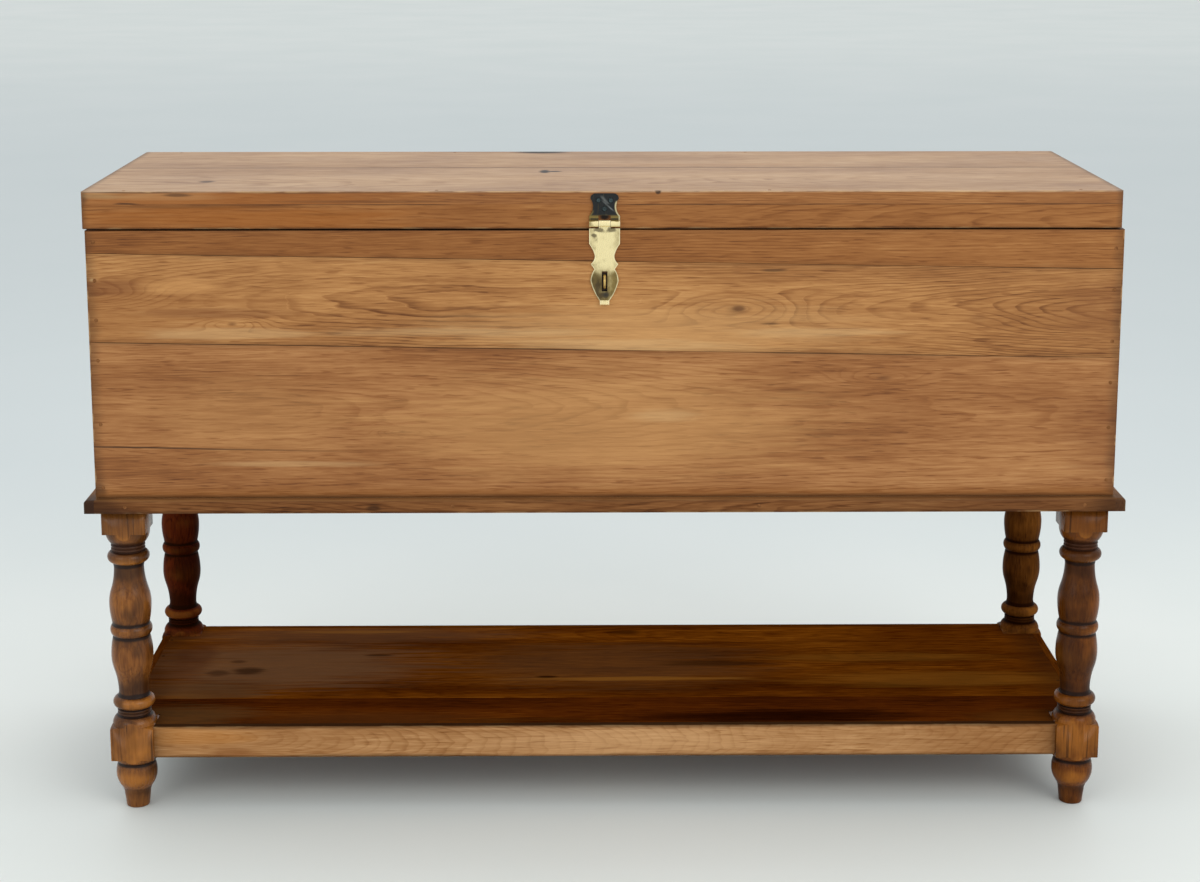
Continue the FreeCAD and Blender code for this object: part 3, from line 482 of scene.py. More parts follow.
def front_board(node, seed, stops, heart, spots=(), crack=None, **more):
    made = wood(node, "X", seed, stops, heart, **more)
    (low_at, low_slope), (high_at, high_slope) = slanted_edges(node)
    rough = made.rough(14.0, 70.0, 3.0 * MM)
    from_seam = (made.z - (made.x * low_slope + low_at)).at_most(made.x * high_slope + high_at - made.z)
    from_end = made.inset(node, "x")
    from_floor = made.from_face("front_board_bottom", "-z")
    stain(made, spots)
    broken = made.noise(3.0, 3.0, 2.0, 83.0).rise(0.40, 0.58) * 0.7 + 0.3
    soil = (from_seam + rough * 0.7).rise(1.4 * MM, 0.2 * MM) * broken * 0.7
    soil = soil.at_least((from_end + rough * 5).rise(16 * MM, 0.0) * 0.4)
    soil = soil.at_least((from_seam + rough * 4).rise(7 * MM, 0.0) * 0.16)
    # Painted shadow, with some dirt in the joint: a dark line along the foot of the case, where it meets the
    # ledge.
    soil = soil.at_least((from_floor + rough).rise(6 * MM, 0.5 * MM) * 0.6)
    if crack:
        start, end, height, slope = crack
        line = made.z - (made.x * slope + height) + rough * 0.7
        soil = soil.at_least(line.size().rise(1.6 * MM, 0.2 * MM) * made.x.rise(end, start) * 0.85)
    # Painted warm shade: an orange band over the lowest 16 mm of the case, just above the ledge.
    warm_shade_above_ledge = (from_floor + rough * 2).rise(16 * MM, 2 * MM)
    made.colour = made.mix(warm_shade_above_ledge * 0.45, made.colour, tone(142, 86, 28))
    soak(made, soil)
    wear_edges(made, node, FRONT_CORNERS)
    bare_inside(made, node, "+y", from_end)
    dress(node, close(made, specular_ior_level=0.22))
    print(node, "lower edge slopes", round(low_slope, 4), "upper", round(high_slope, 4))


# %% Front boards
front_board("front_board_top", 1.0, RED_BROWN, (0, -0.16, 0.60), figure=0.6)
MIDDLE_KNOTS = [
    ((0.155, 0.628, 0.17, 0.040), 6.0),
    ((-0.44, 0.612, 0.08, 0.018), 4.0),
    ((-0.60, 0.648, 0.17, 0.030), 5.0),
    ((0.44, 0.618, 0.16, 0.040), 2.0),
]
MIDDLE_SPOTS = [
    ((0.62, 0.63, 0.15, 0.08), 0.35, DUSK),
    ((-0.60, 0.62, 0.30, 0.09), 0.35, tone(136, 82, 38)),
    ((0.06, 0.60, 0.42, 0.06), 0.40, tone(206, 158, 102)),
    # Painted shade: a black patch on the wood behind the hasp's slot and staple.
    ((-0.0015, 0.6625, 0.016, 0.032), 1.0, SOOT_AND_SHADE),
    ((-0.585, 0.657, 0.06, 0.018), 0.45, DUSK),
    ((-0.500, 0.657, 0.07, 0.018), 0.50, tone(200, 146, 88)),
    ((-0.46, 0.625, 0.16, 0.010), 0.40, DUSK),
    ((0.02, 0.585, 0.22, 0.012), 0.35, STRAW),
    ((-0.18, 0.602, 0.26, 0.010), 0.35, STRAW),
    ((-0.46, 0.600, 0.16, 0.012), 0.35, STRAW),
    ((0.24, 0.600, 0.16, 0.010), 0.3, STRAW),
    ((-0.603, 0.665, 0.006, 0.004), 0.6, STRAW),
    ((0.157, 0.629, 0.013, 0.006), 0.6, KNOT),
    ((0.195, 0.611, 0.024, 0.003), 0.6, DIRT),
    ((0.197, 0.675, 0.024, 0.003), 0.6, DIRT),
]
front_board("front_board_middle", 2.0, HONEY, (0, -0.235, 0.63), MIDDLE_SPOTS, knots=MIDDLE_KNOTS, figure=1.0)
LOW_KNOTS = [((-0.242, 0.481, 0.07, 0.012), 4.0), ((0.33, 0.545, 0.13, 0.026), 4.0)]
PALE_HONEY = tone(196, 146, 90)
LOW_SPOTS = [
    ((-0.605, 0.402, 0.016, 0.030), 0.6, DIRT),
    ((0.64, 0.47, 0.15, 0.12), 0.35, DUSK),
    ((0.0, 0.49, 0.44, 0.11), 0.42, PALE_HONEY),
    ((-0.42, 0.50, 0.20, 0.08), 0.20, PALE_HONEY),
    ((-0.36, 0.442, 0.16, 0.007), 0.3, STRAW),
    ((0.07, 0.50, 0.07, 0.012), 0.3, STRAW),
]
CRACK = (-0.56, -0.22, 0.450, -0.022)
front_board("front_board_bottom", 3.0, TAWNY, (0, -0.27, 0.50), LOW_SPOTS, CRACK, knots=LOW_KNOTS,
            figure=0.55, streaks=1.3)

# %% [markdown]
# ## Back, ends and floor of the case
#
# The other walls wear the same polish outside and are raw inside. Which face is raw depends on the wall, so
# each row of the table names it.

# %% Walls
def wall_board(node, along, seed, stops, raw_face, heart, edges=()):
    made = wood(node, along, seed, stops, heart, figure=0.6)
    from_seam = made.inset(node, "z")
    rough = made.rough(14.0, 70.0, 3.0 * MM)
    soil = (from_seam + rough).rise(2.0 * MM, 0.3 * MM) * 0.8
    soil = soil.at_least((from_seam + rough * 4).rise(9 * MM, 0.0) * 0.2)
    made.colour = made.mix(soil, made.colour, DIRT)
    wear_edges(made, node, edges)
    bare_inside(made, node, raw_face, made.inset(node, along.lower()))
    dress(node, close(made, specular_ior_level=0.22))


WALLS = (
    ("back_board_upper", "X", 4.0, HONEY, "-y", (0, 0.25, 0.70), ("-x +y", "+x +y", "+y +z")),
    ("back_board_lower", "X", 5.0, RED_BROWN, "-y", (0, 0.30, 0.42), ("-x +y", "+x +y")),
    ("left_end_board_upper", "Y", 6.0, HONEY, "+x", (-0.66, 0, 0.66), ("-x +z",)),
    ("left_end_board_lower", "Y", 7.0, HONEY, "+x", (-0.70, 0, 0.44)),
    ("right_end_board_upper", "Y", 8.0, HONEY, "-x", (0.67, 0, 0.62), ("+x +z",)),
    ("right_end_board_lower", "Y", 9.0, RED_BROWN, "-x", (0.69, 0, 0.50)),
)
for row in WALLS:
    wall_board(*row)
PLAIN = (("bottom_board_front", "X", 12.0), ("bottom_board_back", "X", 13.0), ("bin_divider", "Y", 14.0))
for node, along, seed in PLAIN:
    low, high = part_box(node)
    centre = (low + high) / 2
    made = wood(node, along, seed, RAW, (centre.x + 0.02, centre.y + 0.03, centre.z + 0.07))
    recolour(made, made.from_face("back_board_lower", "+y").rise(1.5 * MM, 0.5 * MM), RED_BROWN)
    dress(node, close(made, specular_ior_level=0.2))
print("walls dressed:", len(WALLS) + len(PLAIN))

# %% [markdown]
# ## The lid
#
# The top has been leaned on, dusted and bleached by the light, so it is paler than the front, and that paler
# colour is partly a painted sheen, over a soft sheen of its own gloss. Its seam and its front corner hold
# dirt, and a knot has fallen out near the seam; its hole is painted as dark spots, dirt and painted shade. A
# painted shadow darkens the rail in the notch of the hasp. Inside the skirt the lid is as raw as the case.

# %% Lid
def lid_part(node, along, seed, heart, edges, spots=(), faded_and_sheened=False, **more):
    made = wood(node, along, seed, RED_BROWN, heart, **more)
    rough = made.rough(16.0, 60.0, 3.0 * MM)
    from_top = made.from_face(node, "+z")
    if faded_and_sheened:
        # The paler top is partly faded wood and partly a painted sheen.
        top = (from_top - rough * 0.5).rise(2.2 * MM, 0.2 * MM)
        recolour(made, top, FADED_AND_SHEEN)
        soil = ((made.y - seam).size() + rough).rise(4.0 * MM, 0.5 * MM) * 0.75 * top
    else:
        broken = made.noise(4.0, 4.0, 2.0, 83.0).rise(0.44, 0.56) * 0.9 + 0.1
        soil = (from_top + rough).rise(1.6 * MM, 0.2 * MM) * broken * 0.7
        soil = soil.at_least((made.from_face(node, "-z") + rough).rise(2.0 * MM, 0.2 * MM) * 0.6)
    stain(made, spots)
    wear_edges(made, node, edges)
    from_side = made.inset("lid_board_front", "x")
    soil = soil.at_least((from_side + rough * 2).rise(10 * MM, 0.0) * 0.45)
    soak(made, soil)
    from_front, from_back = made.from_face("lid_board_front", "-y"), made.from_face("lid_board_back", "+y")
    behind_skirt = from_side.at_most(from_front).at_most(from_back).rise(skirt - 1.0 * MM, skirt - 0.4 * MM)
    below = made.from_face("lid_board_front", "-z").rise(0.5 * MM, 0.3 * MM)
    recolour(made, behind_skirt * below, RAW)
    dress(node, close(made, specular_ior_level=0.3 if faded_and_sheened else 0.22))


lid_front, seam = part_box("lid_board_front")[0].y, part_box("lid_board_front")[1].y
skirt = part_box("lid_rail_front")[1].y - lid_front


def on_top(made):
    return made.from_face("lid_board_front", "+z").rise(0.6 * MM, 0.2 * MM)


def on_front(made):
    return made.from_face("lid_board_front", "-y").rise(0.6 * MM, 0.2 * MM)


ORANGE = tone(148, 84, 24)
FRONT_SPOTS = [
    # The fallen-out knot is not cut: its hole is two near-black spots, dirt and painted shade of the hole.
    ((-0.074, seam - 0.040, 0.011, 0.027, "y"), 1.0, SOOT_AND_SHADE, on_top),
    ((-0.062, seam - 0.040, 0.016, 0.010, "y"), 1.0, SOOT_AND_SHADE, on_top),
    ((0.061, lid_front, 0.006, 0.010, "y"), 0.9, DIRT, on_top),
    ((-0.48, lid_front + 0.09, 0.016, 0.016, "y"), 0.8, DIRT, on_top),
    ((-0.52, 0.763, 0.12, 0.008), 0.35, STRAW, on_front),
    ((-0.42, 0.760, 0.34, 0.020), 0.55, ORANGE, on_front),
    ((-0.54, 0.769, 0.12, 0.004), 0.5, DIRT, on_front),
    ((-0.36, 0.768, 0.16, 0.003), 0.4, DIRT, on_front),
    ((-0.27, 0.757, 0.16, 0.003), 0.35, DIRT, on_front),
    ((0.061, 0.768, 0.005, 0.004), 0.9, DIRT, on_front),
    ((-0.617, 0.762, 0.022, 0.014), 0.6, DIRT, on_front),
    ((-0.590, 0.764, 0.060, 0.006), 0.45, tone(156, 128, 88), on_front),
    ((-0.560, 0.7545, 0.024, 0.0022), 0.8, DIRT, on_front),
    ((-0.500, 0.765, 0.026, 0.004), 0.6, DIRT, on_front),
]
BACK_SPOTS = [
    ((-0.08, lid_front + 0.398, 0.060, 0.026, "y"), 0.95, SOOT_AND_SHADE, on_top),
    ((-0.17, lid_front + 0.404, 0.08, 0.010, "y"), 0.4, DIRT, on_top),
    ((0.1, seam + 0.03, 0.35, 0.020, "y"), 0.3, tone(160, 116, 76)),
]
RAIL_SPOTS = [
    # Painted shadow: a black spot on the rail, seen through the notch of the hasp's upper leaf.
    ((-0.0015, 0.7385, 0.011, 0.006), 1.0, SOOT_AND_SHADE),
    ((-0.45, 0.751, 0.20, 0.003), 0.45, DIRT),
    ((-0.33, 0.742, 0.06, 0.003), 0.4, DIRT),
    ((-0.42, 0.738, 0.34, 0.022), 0.55, ORANGE),
]
TOP_FRONT = ("-x +z", "+x +z", "-y +z") + FRONT_CORNERS
TOP_BACK = ("-x +z", "+x +z", "+y +z")
LID = (
    ("lid_board_front", "X", 21.0, (0, -0.10, 0.64), TOP_FRONT, FRONT_SPOTS, True),
    ("lid_board_back", "X", 22.0, (0, 0.10, 0.67), TOP_BACK, BACK_SPOTS, True),
    ("lid_rail_front", "X", 23.0, (0, -0.15, 0.70), ("-y -z",) + FRONT_CORNERS, RAIL_SPOTS),
    ("lid_rail_back", "X", 24.0, (0, 0.17, 0.70), ("+y -z", "-x +y", "+x +y")),
    ("lid_rail_left", "Y", 25.0, (-0.57, 0, 0.70), ("-x -z",)),
    ("lid_rail_right", "Y", 26.0, (0.57, 0, 0.70), ("+x -z",)),
)
for row in LID:
    lid_part(*row, figure=0.6 if "board" in row[0] else 0.5)
print("lid seam at y =", round(seam, 4))

# %% [markdown]
# ## Ledge and shelf
#
# Feet and brooms meet the ledge and the shelf first, so they carry more dark wax and more dents than the
# case. The ledge's top edge is lighter, rubbed and also a painted highlight. The shelf boards were stained
# nearly black at the front, while its front rail was rubbed back to bare honey. The shelf's dark tones also
# hold painted shade from the case above it, and its greyish patches at the left are a painted sheen.

# %% Ledge
def dark_part(node, along, seed, stops, heart, edges=(), spots=(), ends=0.5, gloss=0.15, rubbed_and_highlit=0.0,
              grime=0.35, capped=0.0, **more):
    """Ends and grime are the dirt at the ends and the edges, capped is the black wax on the top face."""
    made = wood(node, along, seed, stops, heart, **more)
    rough = made.rough(10.0, 40.0, 4.0 * MM)
    from_top = made.from_face(node, "+z")
    # Rubbed wear and a painted highlight: the top front edge lighter, where its rounded edge catches the
    # light.
    if rubbed_and_highlit:
        edge = (from_top + rough).rise(2.8 * MM, 0.2 * MM) * (rough / MM + 2.0).rise(0.6, 2.6)
        made.colour = made.mix(edge * rubbed_and_highlit, made.colour, tone(172, 122, 72))
    soil = (made.inset(node, along.lower()) + rough * 6).rise(60 * MM, 0.0) * ends
    soil = soil.at_least((made.inset(node, "z") + rough * 1.5).rise(5 * MM, 0.2 * MM) * grime)
    stain(made, spots)
    if capped:
        top = from_top.rise(0.5 * MM, 0.1 * MM) * capped
        made.colour = made.mix(top, made.colour, BLACK_WAX)
        made.height = made.height - top * 0.2
    wear_edges(made, node, edges)
    soak(made, soil, 0.5)
    dress(node, close(made, specular_ior_level=gloss))


FRONT_EDGES, BACK_EDGES = ("-y +z", "-y -z"), ("+y +z", "+y -z")
LEFT_EDGES, RIGHT_EDGES = ("-x +z", "-x -z"), ("+x +z", "+x -z")
LEDGE_SPOTS = [
    ((-0.277, 0.391, 0.016, 0.006), 0.7, DIRT),
    ((0.45, 0.390, 0.30, 0.05), 0.30, tone(70, 36, 14)),
    ((-0.60, 0.382, 0.10, 0.016), 0.55, tone(62, 34, 24)),
]
dark_part("ledge_front", "X", 31.0, UMBER, (0, -0.25, 0.36), FRONT_EDGES, LEDGE_SPOTS, ends=0.7, gloss=0.10,
          rubbed_and_highlit=0.6, figure=0.5)
dark_part("ledge_left", "Y", 32.0, UMBER, (-0.66, 0, 0.36), LEFT_EDGES + ("-x -y",), ends=0.95, rubbed_and_highlit=0.6)
dark_part("ledge_right", "Y", 33.0, UMBER, (0.66, 0, 0.36), RIGHT_EDGES + ("+x -y",), ends=0.75, rubbed_and_highlit=0.6)

# %% Shelf
AMBER = tone(150, 98, 34)
FRONT_SHELF_SPOTS = [
    ((0.22, -0.160, 0.26, 0.040, "y"), 0.75, BLACK_WAX),
    ((-0.10, -0.172, 0.20, 0.020, "y"), 0.5, BLACK_WAX),
    # Painted sheen: a greyish pale patch standing in for a reflection.
    ((-0.52, -0.150, 0.14, 0.060, "y"), 0.4, tone(98, 76, 44)),
    ((-0.30, -0.165, 0.26, 0.045, "y"), 0.5, tone(84, 48, 20)),
    ((0.52, -0.165, 0.12, 0.040, "y"), 0.45, tone(92, 56, 20)),
]
SHELF_SPOTS = [
    # Painted sheen: the greyish pale patches at the left stand in for a reflection; the others are wax, stain
    # and wear.
    ((-0.42, 0.03, 0.32, 0.150, "y"), 0.75, tone(112, 80, 54)),
    ((0.00, 0.03, 0.34, 0.150, "y"), 0.50, tone(98, 66, 38)),
    ((-0.535, -0.085, 0.060, 0.030, "y"), 0.5, tone(134, 82, 30)),
    ((-0.545, 0.060, 0.045, 0.120, "y"), 0.45, tone(64, 28, 12)),
    ((-0.466, 0.010, 0.036, 0.024, "y"), 0.65, BLACK_WAX),
    ((-0.505, 0.002, 0.026, 0.018, "y"), 0.5, BLACK_WAX),
    ((-0.485, 0.045, 0.022, 0.012, "y"), 0.5, BLACK_WAX),
    ((-0.073, -0.016, 0.024, 0.008, "y"), 0.8, BLACK_WAX),
    ((-0.300, 0.070, 0.030, 0.008, "y"), 0.6, BLACK_WAX),
    ((0.05, -0.025, 0.22, 0.012, "y"), 0.6, AMBER),
    ((-0.52, -0.060, 0.16, 0.060, "y"), 0.60, tone(92, 66, 42)),
    ((0.20, -0.100, 0.26, 0.014, "y"), 0.6, BLACK_WAX),
    ((0.15, 0.035, 0.12, 0.020, "y"), 0.5, BLACK_WAX),
    ((0.44, -0.030, 0.30, 0.050, "y"), 0.35, AMBER),
    ((0.36, 0.055, 0.26, 0.030, "y"), 0.3, AMBER),
]
BACK_SHELF_SPOTS = [
    # Painted sheen: a greyish pale patch at the left, standing in for a reflection.
    ((-0.35, 0.150, 0.40, 0.060, "y"), 0.60, tone(94, 64, 42)),
    ((0.03, 0.160, 0.04, 0.016, "y"), 0.6, BLACK_WAX),
    ((-0.33, 0.165, 0.15, 0.010, "y"), 0.3, AMBER),
]
# Stain and painted shade: the shelf is darker than its wood, as it lies under the case.
SHELF_BOARDS = (
    ("front", 41.0, NEARLY_BLACK_AND_SHADED, (0, -0.15, 0.03), FRONT_SHELF_SPOTS),
    ("middle_front", 42.0, STAINED_AND_SHADED, (0, -0.04, 0.04), SHELF_SPOTS),
    ("middle_back", 43.0, STAINED_AND_SHADED, (0, 0.05, 0.02), SHELF_SPOTS),
    ("back", 44.0, STAINED_AND_SHADED, (0, 0.17, 0.03), BACK_SHELF_SPOTS),
)
for place, seed, stops, heart, spots in SHELF_BOARDS:
    dark_part("shelf_board_" + place, "X", seed, stops, heart, (), spots, ends=0.6, gloss=0.0, grime=0.0,
              streaks=1.5, figure=0.3)
RAIL_MARKS = [
    ((-0.46, 0.072, 0.05, 0.012), 0.5, DUSK),
    ((-0.45, 0.085, 0.24, 0.05), 0.25, tone(140, 90, 48)),
    ((-0.50, 0.095, 0.12, 0.02), 0.3, tone(196, 130, 62)),
    ((0.50, 0.085, 0.30, 0.05), 0.35, tone(132, 86, 48)),
    ((0.02, 0.085, 0.30, 0.03), 0.25, tone(206, 162, 116)),
]
dark_part("shelf_front_rail", "X", 45.0, PALE, (0, -0.11, 0.085), FRONT_EDGES, RAIL_MARKS, ends=0.45,
          gloss=0.0, grime=0.6, capped=0.85, figure=0.36, spacing=2.4 * MM, wander=0.09, tilt=(0, 0.13, 0))
dark_part("shelf_back_rail", "X", 46.0, STAINED_AND_SHADED, (0, 0.21, 0.06), BACK_EDGES, gloss=0.0)
dark_part("shelf_left_rail", "Y", 47.0, STAINED_AND_SHADED, (-0.62, 0, 0.06), LEFT_EDGES, gloss=0.0)
dark_part("shelf_right_rail", "Y", 48.0, STAINED_AND_SHADED, (0.62, 0, 0.06), RIGHT_EDGES, gloss=0.0)
dark_part("shelf_bearer", "Y", 49.0, RAW, (0.03, 0, 0.04))

# %% [markdown]
# ## Turned legs
#
# Wax and dust stay in the grooves of a turning, and hands and brooms rub its crowns pale. The bellies of the
# vases are lighter too, partly rubbed and partly a painted highlight. That wear and highlight follow the
# profile, so
# they are measured from the shape: for each height the leg's radius is compared with the mean radius of the
# stretch around it. The result is stored on the mesh as an attribute that the finish reads. The top of each
# leg is darker under the overhanging ledge, a painted shade, and the back legs are darker by painted shade as
# well.
# The legs are copies of the exact ones, because the wear is stored on their points.

# %% Leg shape
WELD = 0.002 * MM
SHARP = math.radians(32)


def plain_copy(node, name):
    """A joined-up copy of a piece, shaded smooth but for its sharp edges."""
    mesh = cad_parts[node].data.copy()
    mesh.name = name
    work = bmesh.new()
    work.from_mesh(mesh)
    bmesh.ops.remove_doubles(work, verts=work.verts, dist=WELD)
    work.to_mesh(mesh)
    work.free()
    mesh.shade_smooth()
    mesh.set_sharp_from_angle(angle=SHARP)
    made = bpy.data.objects.new(name, mesh)
    bpy.context.scene.collection.objects.link(made)
    return made


def profile_wear(mesh, axis, cap, name, window, depth, step=0.75 * MM):
    """How far the profile stands out from its own mean over a window, by a depth: about -1 to 1."""
    points = np.array([v.co for v in mesh.vertices])
    radius = np.minimum(np.hypot(points[:, 0] - axis.x, points[:, 1] - axis.y), cap)
    index = np.round(points[:, 2] / step).astype(int)
    outline = np.zeros(index.max() + 1)
    np.maximum.at(outline, index, radius)
    known = np.flatnonzero(outline)
    outline = np.interp(np.arange(len(outline)), known, outline[known])
    count = int(window / step) * 2 + 1
    mean = np.convolve(np.pad(outline, count // 2, mode="edge"), np.ones(count) / count, mode="valid")
    wear = np.clip((outline - mean)[index] / depth, -1, 1)
    layer = mesh.attributes.new(name, "FLOAT", "POINT")
    layer.data.foreach_set("value", wear.astype(np.float32))
    return wear


# %% Leg finish
CORNER = (22.0 * MM, 25.5 * MM)
FLAT = (25.2 * MM, 25.8 * MM)
BLOCK_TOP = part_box("ledge_front")[0].z
RING_BELOW = 54 * MM


def leg_finish(name, axis, seed, stops, gloss, rub_and_highlight):
    """The last argument scales the rubbed crowns and the painted highlight. Corner and flat are distances
    from the leg's axis.
    """
    heart = (axis.x + 0.012, axis.y + 0.03, 0)
    made = wood(name, "Z", seed, stops, heart, spacing=2.4 * MM, wander=0.03, figure=0.3, streaks=0.6)
    wear, belly = made.attribute("wear"), made.attribute("belly")
    rough = made.noise(16.0, 30.0, 4.0, 41.0) - 0.5
    off_x, off_y = (made.x - axis.x).size(), (made.y - axis.y).size()
    corner = (off_x.at_most(off_y) + rough * (2.0 * MM)).rise(*CORNER)
    square = off_x.at_least(off_y).rise(*FLAT)
    patchy = made.noise(24.0, 40.0, 3.0, 47.0).rise(0.42, 0.62)
    # Painted highlight, with rubbing: the bellies of the vases are lighter, as are the rubbed crowns and
    # corners.
    crown_rub_and_highlight = ((wear + rough * 1.4).rise(0.1, 1.0) * 0.45).at_least((belly + rough * 2.0).rise(0.1, 0.9) * 0.8)
    rubbed_and_highlit = crown_rub_and_highlight.at_least(corner).at_least(square * 0.75) * (patchy * 0.7 + 0.3) * rub_and_highlight
    groove = (wear + rough * 0.8).rise(0.05, -0.7).at_least((belly + rough * 1.6).rise(0.1, -0.9) * 0.8)
    blotch = made.noise(14.0, 22.0, 3.0, 53.0).rise(0.46, 0.62)
    split = made.noise(7.0, 260.0, 2.0, 59.0).rise(0.60, 0.68) * square
    below = BLOCK_TOP - made.z
    # Painted shade: the top of the leg darker under the overhanging ledge, darkest just below it, and a
    # darker band round the collar.
    upper = below.rise(50 * MM, 30 * MM) * 0.3
    collar = (below - RING_BELOW).size().rise(16 * MM, 8 * MM) * 0.6
    crevice = (below + rough * (10 * MM)).rise(9 * MM, 1 * MM) * 0.5
    made.colour = made.mix(rubbed_and_highlit * 0.60, made.colour, tone(184, 116, 44))
    made.colour = made.mix(groove.at_least(blotch * (0.60 - square * 0.35)), made.colour, tone(30, 10, 1))
    made.colour = made.mix(split * 0.6, made.colour, tone(24, 7, 0))
    made.colour = made.mix(upper.at_least(collar).at_least(crevice), made.colour, tone(56, 28, 12))
    made.height = made.height * 0.5 - split
    made.dull = made.dull - 0.30 + groove * 0.2
    return close(made, specular_ior_level=gloss)


LEG_RADIUS = 26.9 * MM
LEG_LOOKS = {
    "leg_front_left": (AMBERED, 0.22, 1.0),
    "leg_front_right": (TURNED, 0.12, 0.8),
    # The back legs are darker by painted shade, over a redder tone of their own.
    "leg_back_left": (DEEP_RED_AND_SHADED, 0.008, 0.4),
    "leg_back_right": (BROWN_AND_SHADED, 0.008, 0.5),
}
for number, (node, look) in enumerate(LEG_LOOKS.items()):
    leg = plain_copy(node, "turned_" + node)
    low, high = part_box(node)
    axis = (low + high) / 2
    wear = profile_wear(leg.data, axis, LEG_RADIUS, "wear", 7.0 * MM, 1.6 * MM)
    profile_wear(leg.data, axis, LEG_RADIUS, "belly", 26.0 * MM, 3.4 * MM)
    leg.data.materials.clear()
    leg.data.materials.append(leg_finish("finish_" + node, axis, 51.0 + number, *look))
    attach(leg, "chest")
    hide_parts(node)
    print(node, "points", len(leg.data.vertices), "wear", wear.min().round(2), "to", wear.max().round(2))

# %% [markdown]
# ## Brass
#
# Hands polish the middle of the hasp to pale gold and rub its rim bright; the bright rim is also a painted
# highlight of the leaf's rounded edge. Its upper leaf, which nobody touches, has gone nearly black, with a
# painted shadow just above the knuckles. Every brass piece has the same finish: clean metal below, then
# olive, then tarnish where a mask says. Tarnish is less metallic and duller, so it changes those sockets too.
# The rim needs the distance to the outline, so the plate's half width is measured at every height and becomes
# a ramp.

# %% Brass finish
GOLD = tone(244, 226, 172)
OLD_GOLD = tone(196, 168, 104)
OLIVE = tone(132, 112, 62)
TARNISH = tone(34, 36, 37)


class Brass(Wood):
    """Clean metal, olive where it is seldom touched, and nearly black where it never is."""

    def __init__(self, name, seed):
        super().__init__(name, "Z", seed)
        self.cloud = self.noise(110.0, 150.0, 4.0, 3.0) - 0.5
        self.scratch = self.noise(50.0, 1100.0, 2.0, 9.0)

    def ragged(self, mask):
        """The mask with a cloudy rim."""
        return (mask * 1.3 + self.cloud * 1.3).rise(0.25, 0.85)

    def inside(self, node, middle, stops=31):
        """How far a point lies inside the outline of an upright plate, measured across it."""
        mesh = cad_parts[node].data
        points = np.array([v.co for v in mesh.vertices])
        first, last = (points[[edge.vertices[end] for edge in mesh.edges]] for end in (0, 1))
        rising = np.abs(last[:, 2] - first[:, 2]) > 0.001 * MM
        first, way = first[rising], (last - first)[rising]
        low, high = points[:, 2].min(), points[:, 2].max()
        levels, widths = np.linspace(low + 0.01 * MM, high - 0.01 * MM, 400), []
        for level in levels:
            run = (level - first[:, 2]) / way[:, 2]
            cut = (first + way * run[:, None])[(run >= 0) & (run <= 1), 0]
            widths.append(np.abs(cut - middle).max())
        widths, chosen = np.array(widths), [0, len(levels) - 1]
        while len(chosen) < stops:
            error = np.abs(widths - np.interp(levels, levels[chosen], widths[chosen]))
            chosen = sorted(chosen + [int(error.argmax())])
        widest = widths.max()
        shades = [((levels[i] - low) / (high - low), [widths[i] / widest] * 3 + [1]) for i in chosen]
        print(node, "outline at", len(shades), "heights, half width up to", round(float(widest), 4), "m")
        half = self.ramp((self.z - float(low)) / float(high - low), shades)
        return half * float(widest) - (self.x - middle).size()

    def polish(self, clean, olive, dark, rough=0.3, marks=(), metal=1.0, gloss=0.5):
        dark = dark * (1 - self.scratch.rise(0.58, 0.74) * 0.18)
        self.colour = self.mix(dark, self.mix(olive, clean, OLIVE), TARNISH)
        for mask, colour in marks:
            self.colour = self.mix(mask, self.colour, colour)
        self.height = self.scratch * 0.3 + self.cloud * 0.7
        self.dull = rough + dark * 0.25 + (self.scratch - 0.5) * 0.2
        return close(self, 0.15 * MM, metallic=metal - dark * (0.5 * metal), specular_ior_level=gloss)


def aged_brass(name, seed, clean, cover, rough=0.4):
    """Brass with patches all over, for pieces that nobody polishes."""
    made = Brass(name, seed)
    olive = (made.cloud + cover).rise(-0.1, 0.3)
    return made.polish(clean, olive, (made.cloud + cover).rise(0.15, 0.4), rough)


# %% Hasp
hasp_low, hasp_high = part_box("hasp_leaf")
HASP_X = (hasp_low.x + hasp_high.x) / 2
print("hasp leaf from z", round(hasp_low.z, 4), "to", round(hasp_high.z, 4), "middle x", round(HASP_X, 4))

# Pale gold for rubbed brass, also used as a painted highlight on edges.
BRIGHT_RUB_AND_HIGHLIGHT = tone(252, 240, 196)
SMUDGE = tone(70, 54, 28)
# Heights on the hasp are metres above the floor.
LIP_TOP, SHOULDER = 0.640, 0.727
LOBE = (0.684, 0.664)
leaf = Brass("hasp_leaf", 61.0)
# The bright rim is rubbed brass and also a painted highlight of the leaf's rounded edge.
rim = (leaf.inside("hasp_leaf", HASP_X) + leaf.cloud * (1.6 * MM)).rise(1.5 * MM, 0.3 * MM)
side = (leaf.x - HASP_X).size().rise(7 * MM, 16 * MM) * leaf.z.rise(SHOULDER + 2 * MM, SHOULDER - 2 * MM)
lower = leaf.z.rise(*LOBE) * leaf.z.rise(LIP_TOP - 0.5 * MM, LIP_TOP + 0.5 * MM)
LEAF_SPOTS = [
    (0.7240, HASP_X + 0.0090, 0.0060, 0.0100, "x"),
    (0.7235, HASP_X - 0.0070, 0.0050, 0.0110, "x"),
    (0.7172, HASP_X - 0.0125, 0.0036, 0.0058, "x"),
    (0.6540, HASP_X - 0.0080, 0.0110, 0.0060, "x"),
    (0.6465, HASP_X, 0.0075, 0.0110, "x"),
]
dark = leaf.near(*LEAF_SPOTS[0])
for spot in LEAF_SPOTS[1:]:
    dark = dark.at_least(leaf.near(*spot))
dark = (dark * 1.2 + leaf.cloud * 2.0).rise(0.15, 0.9) * (1 - rim * 0.7)
olive = (side * 0.4 + lower * 0.75 + leaf.cloud * 0.9).rise(0.0, 0.9) * (1 - rim * 0.8)
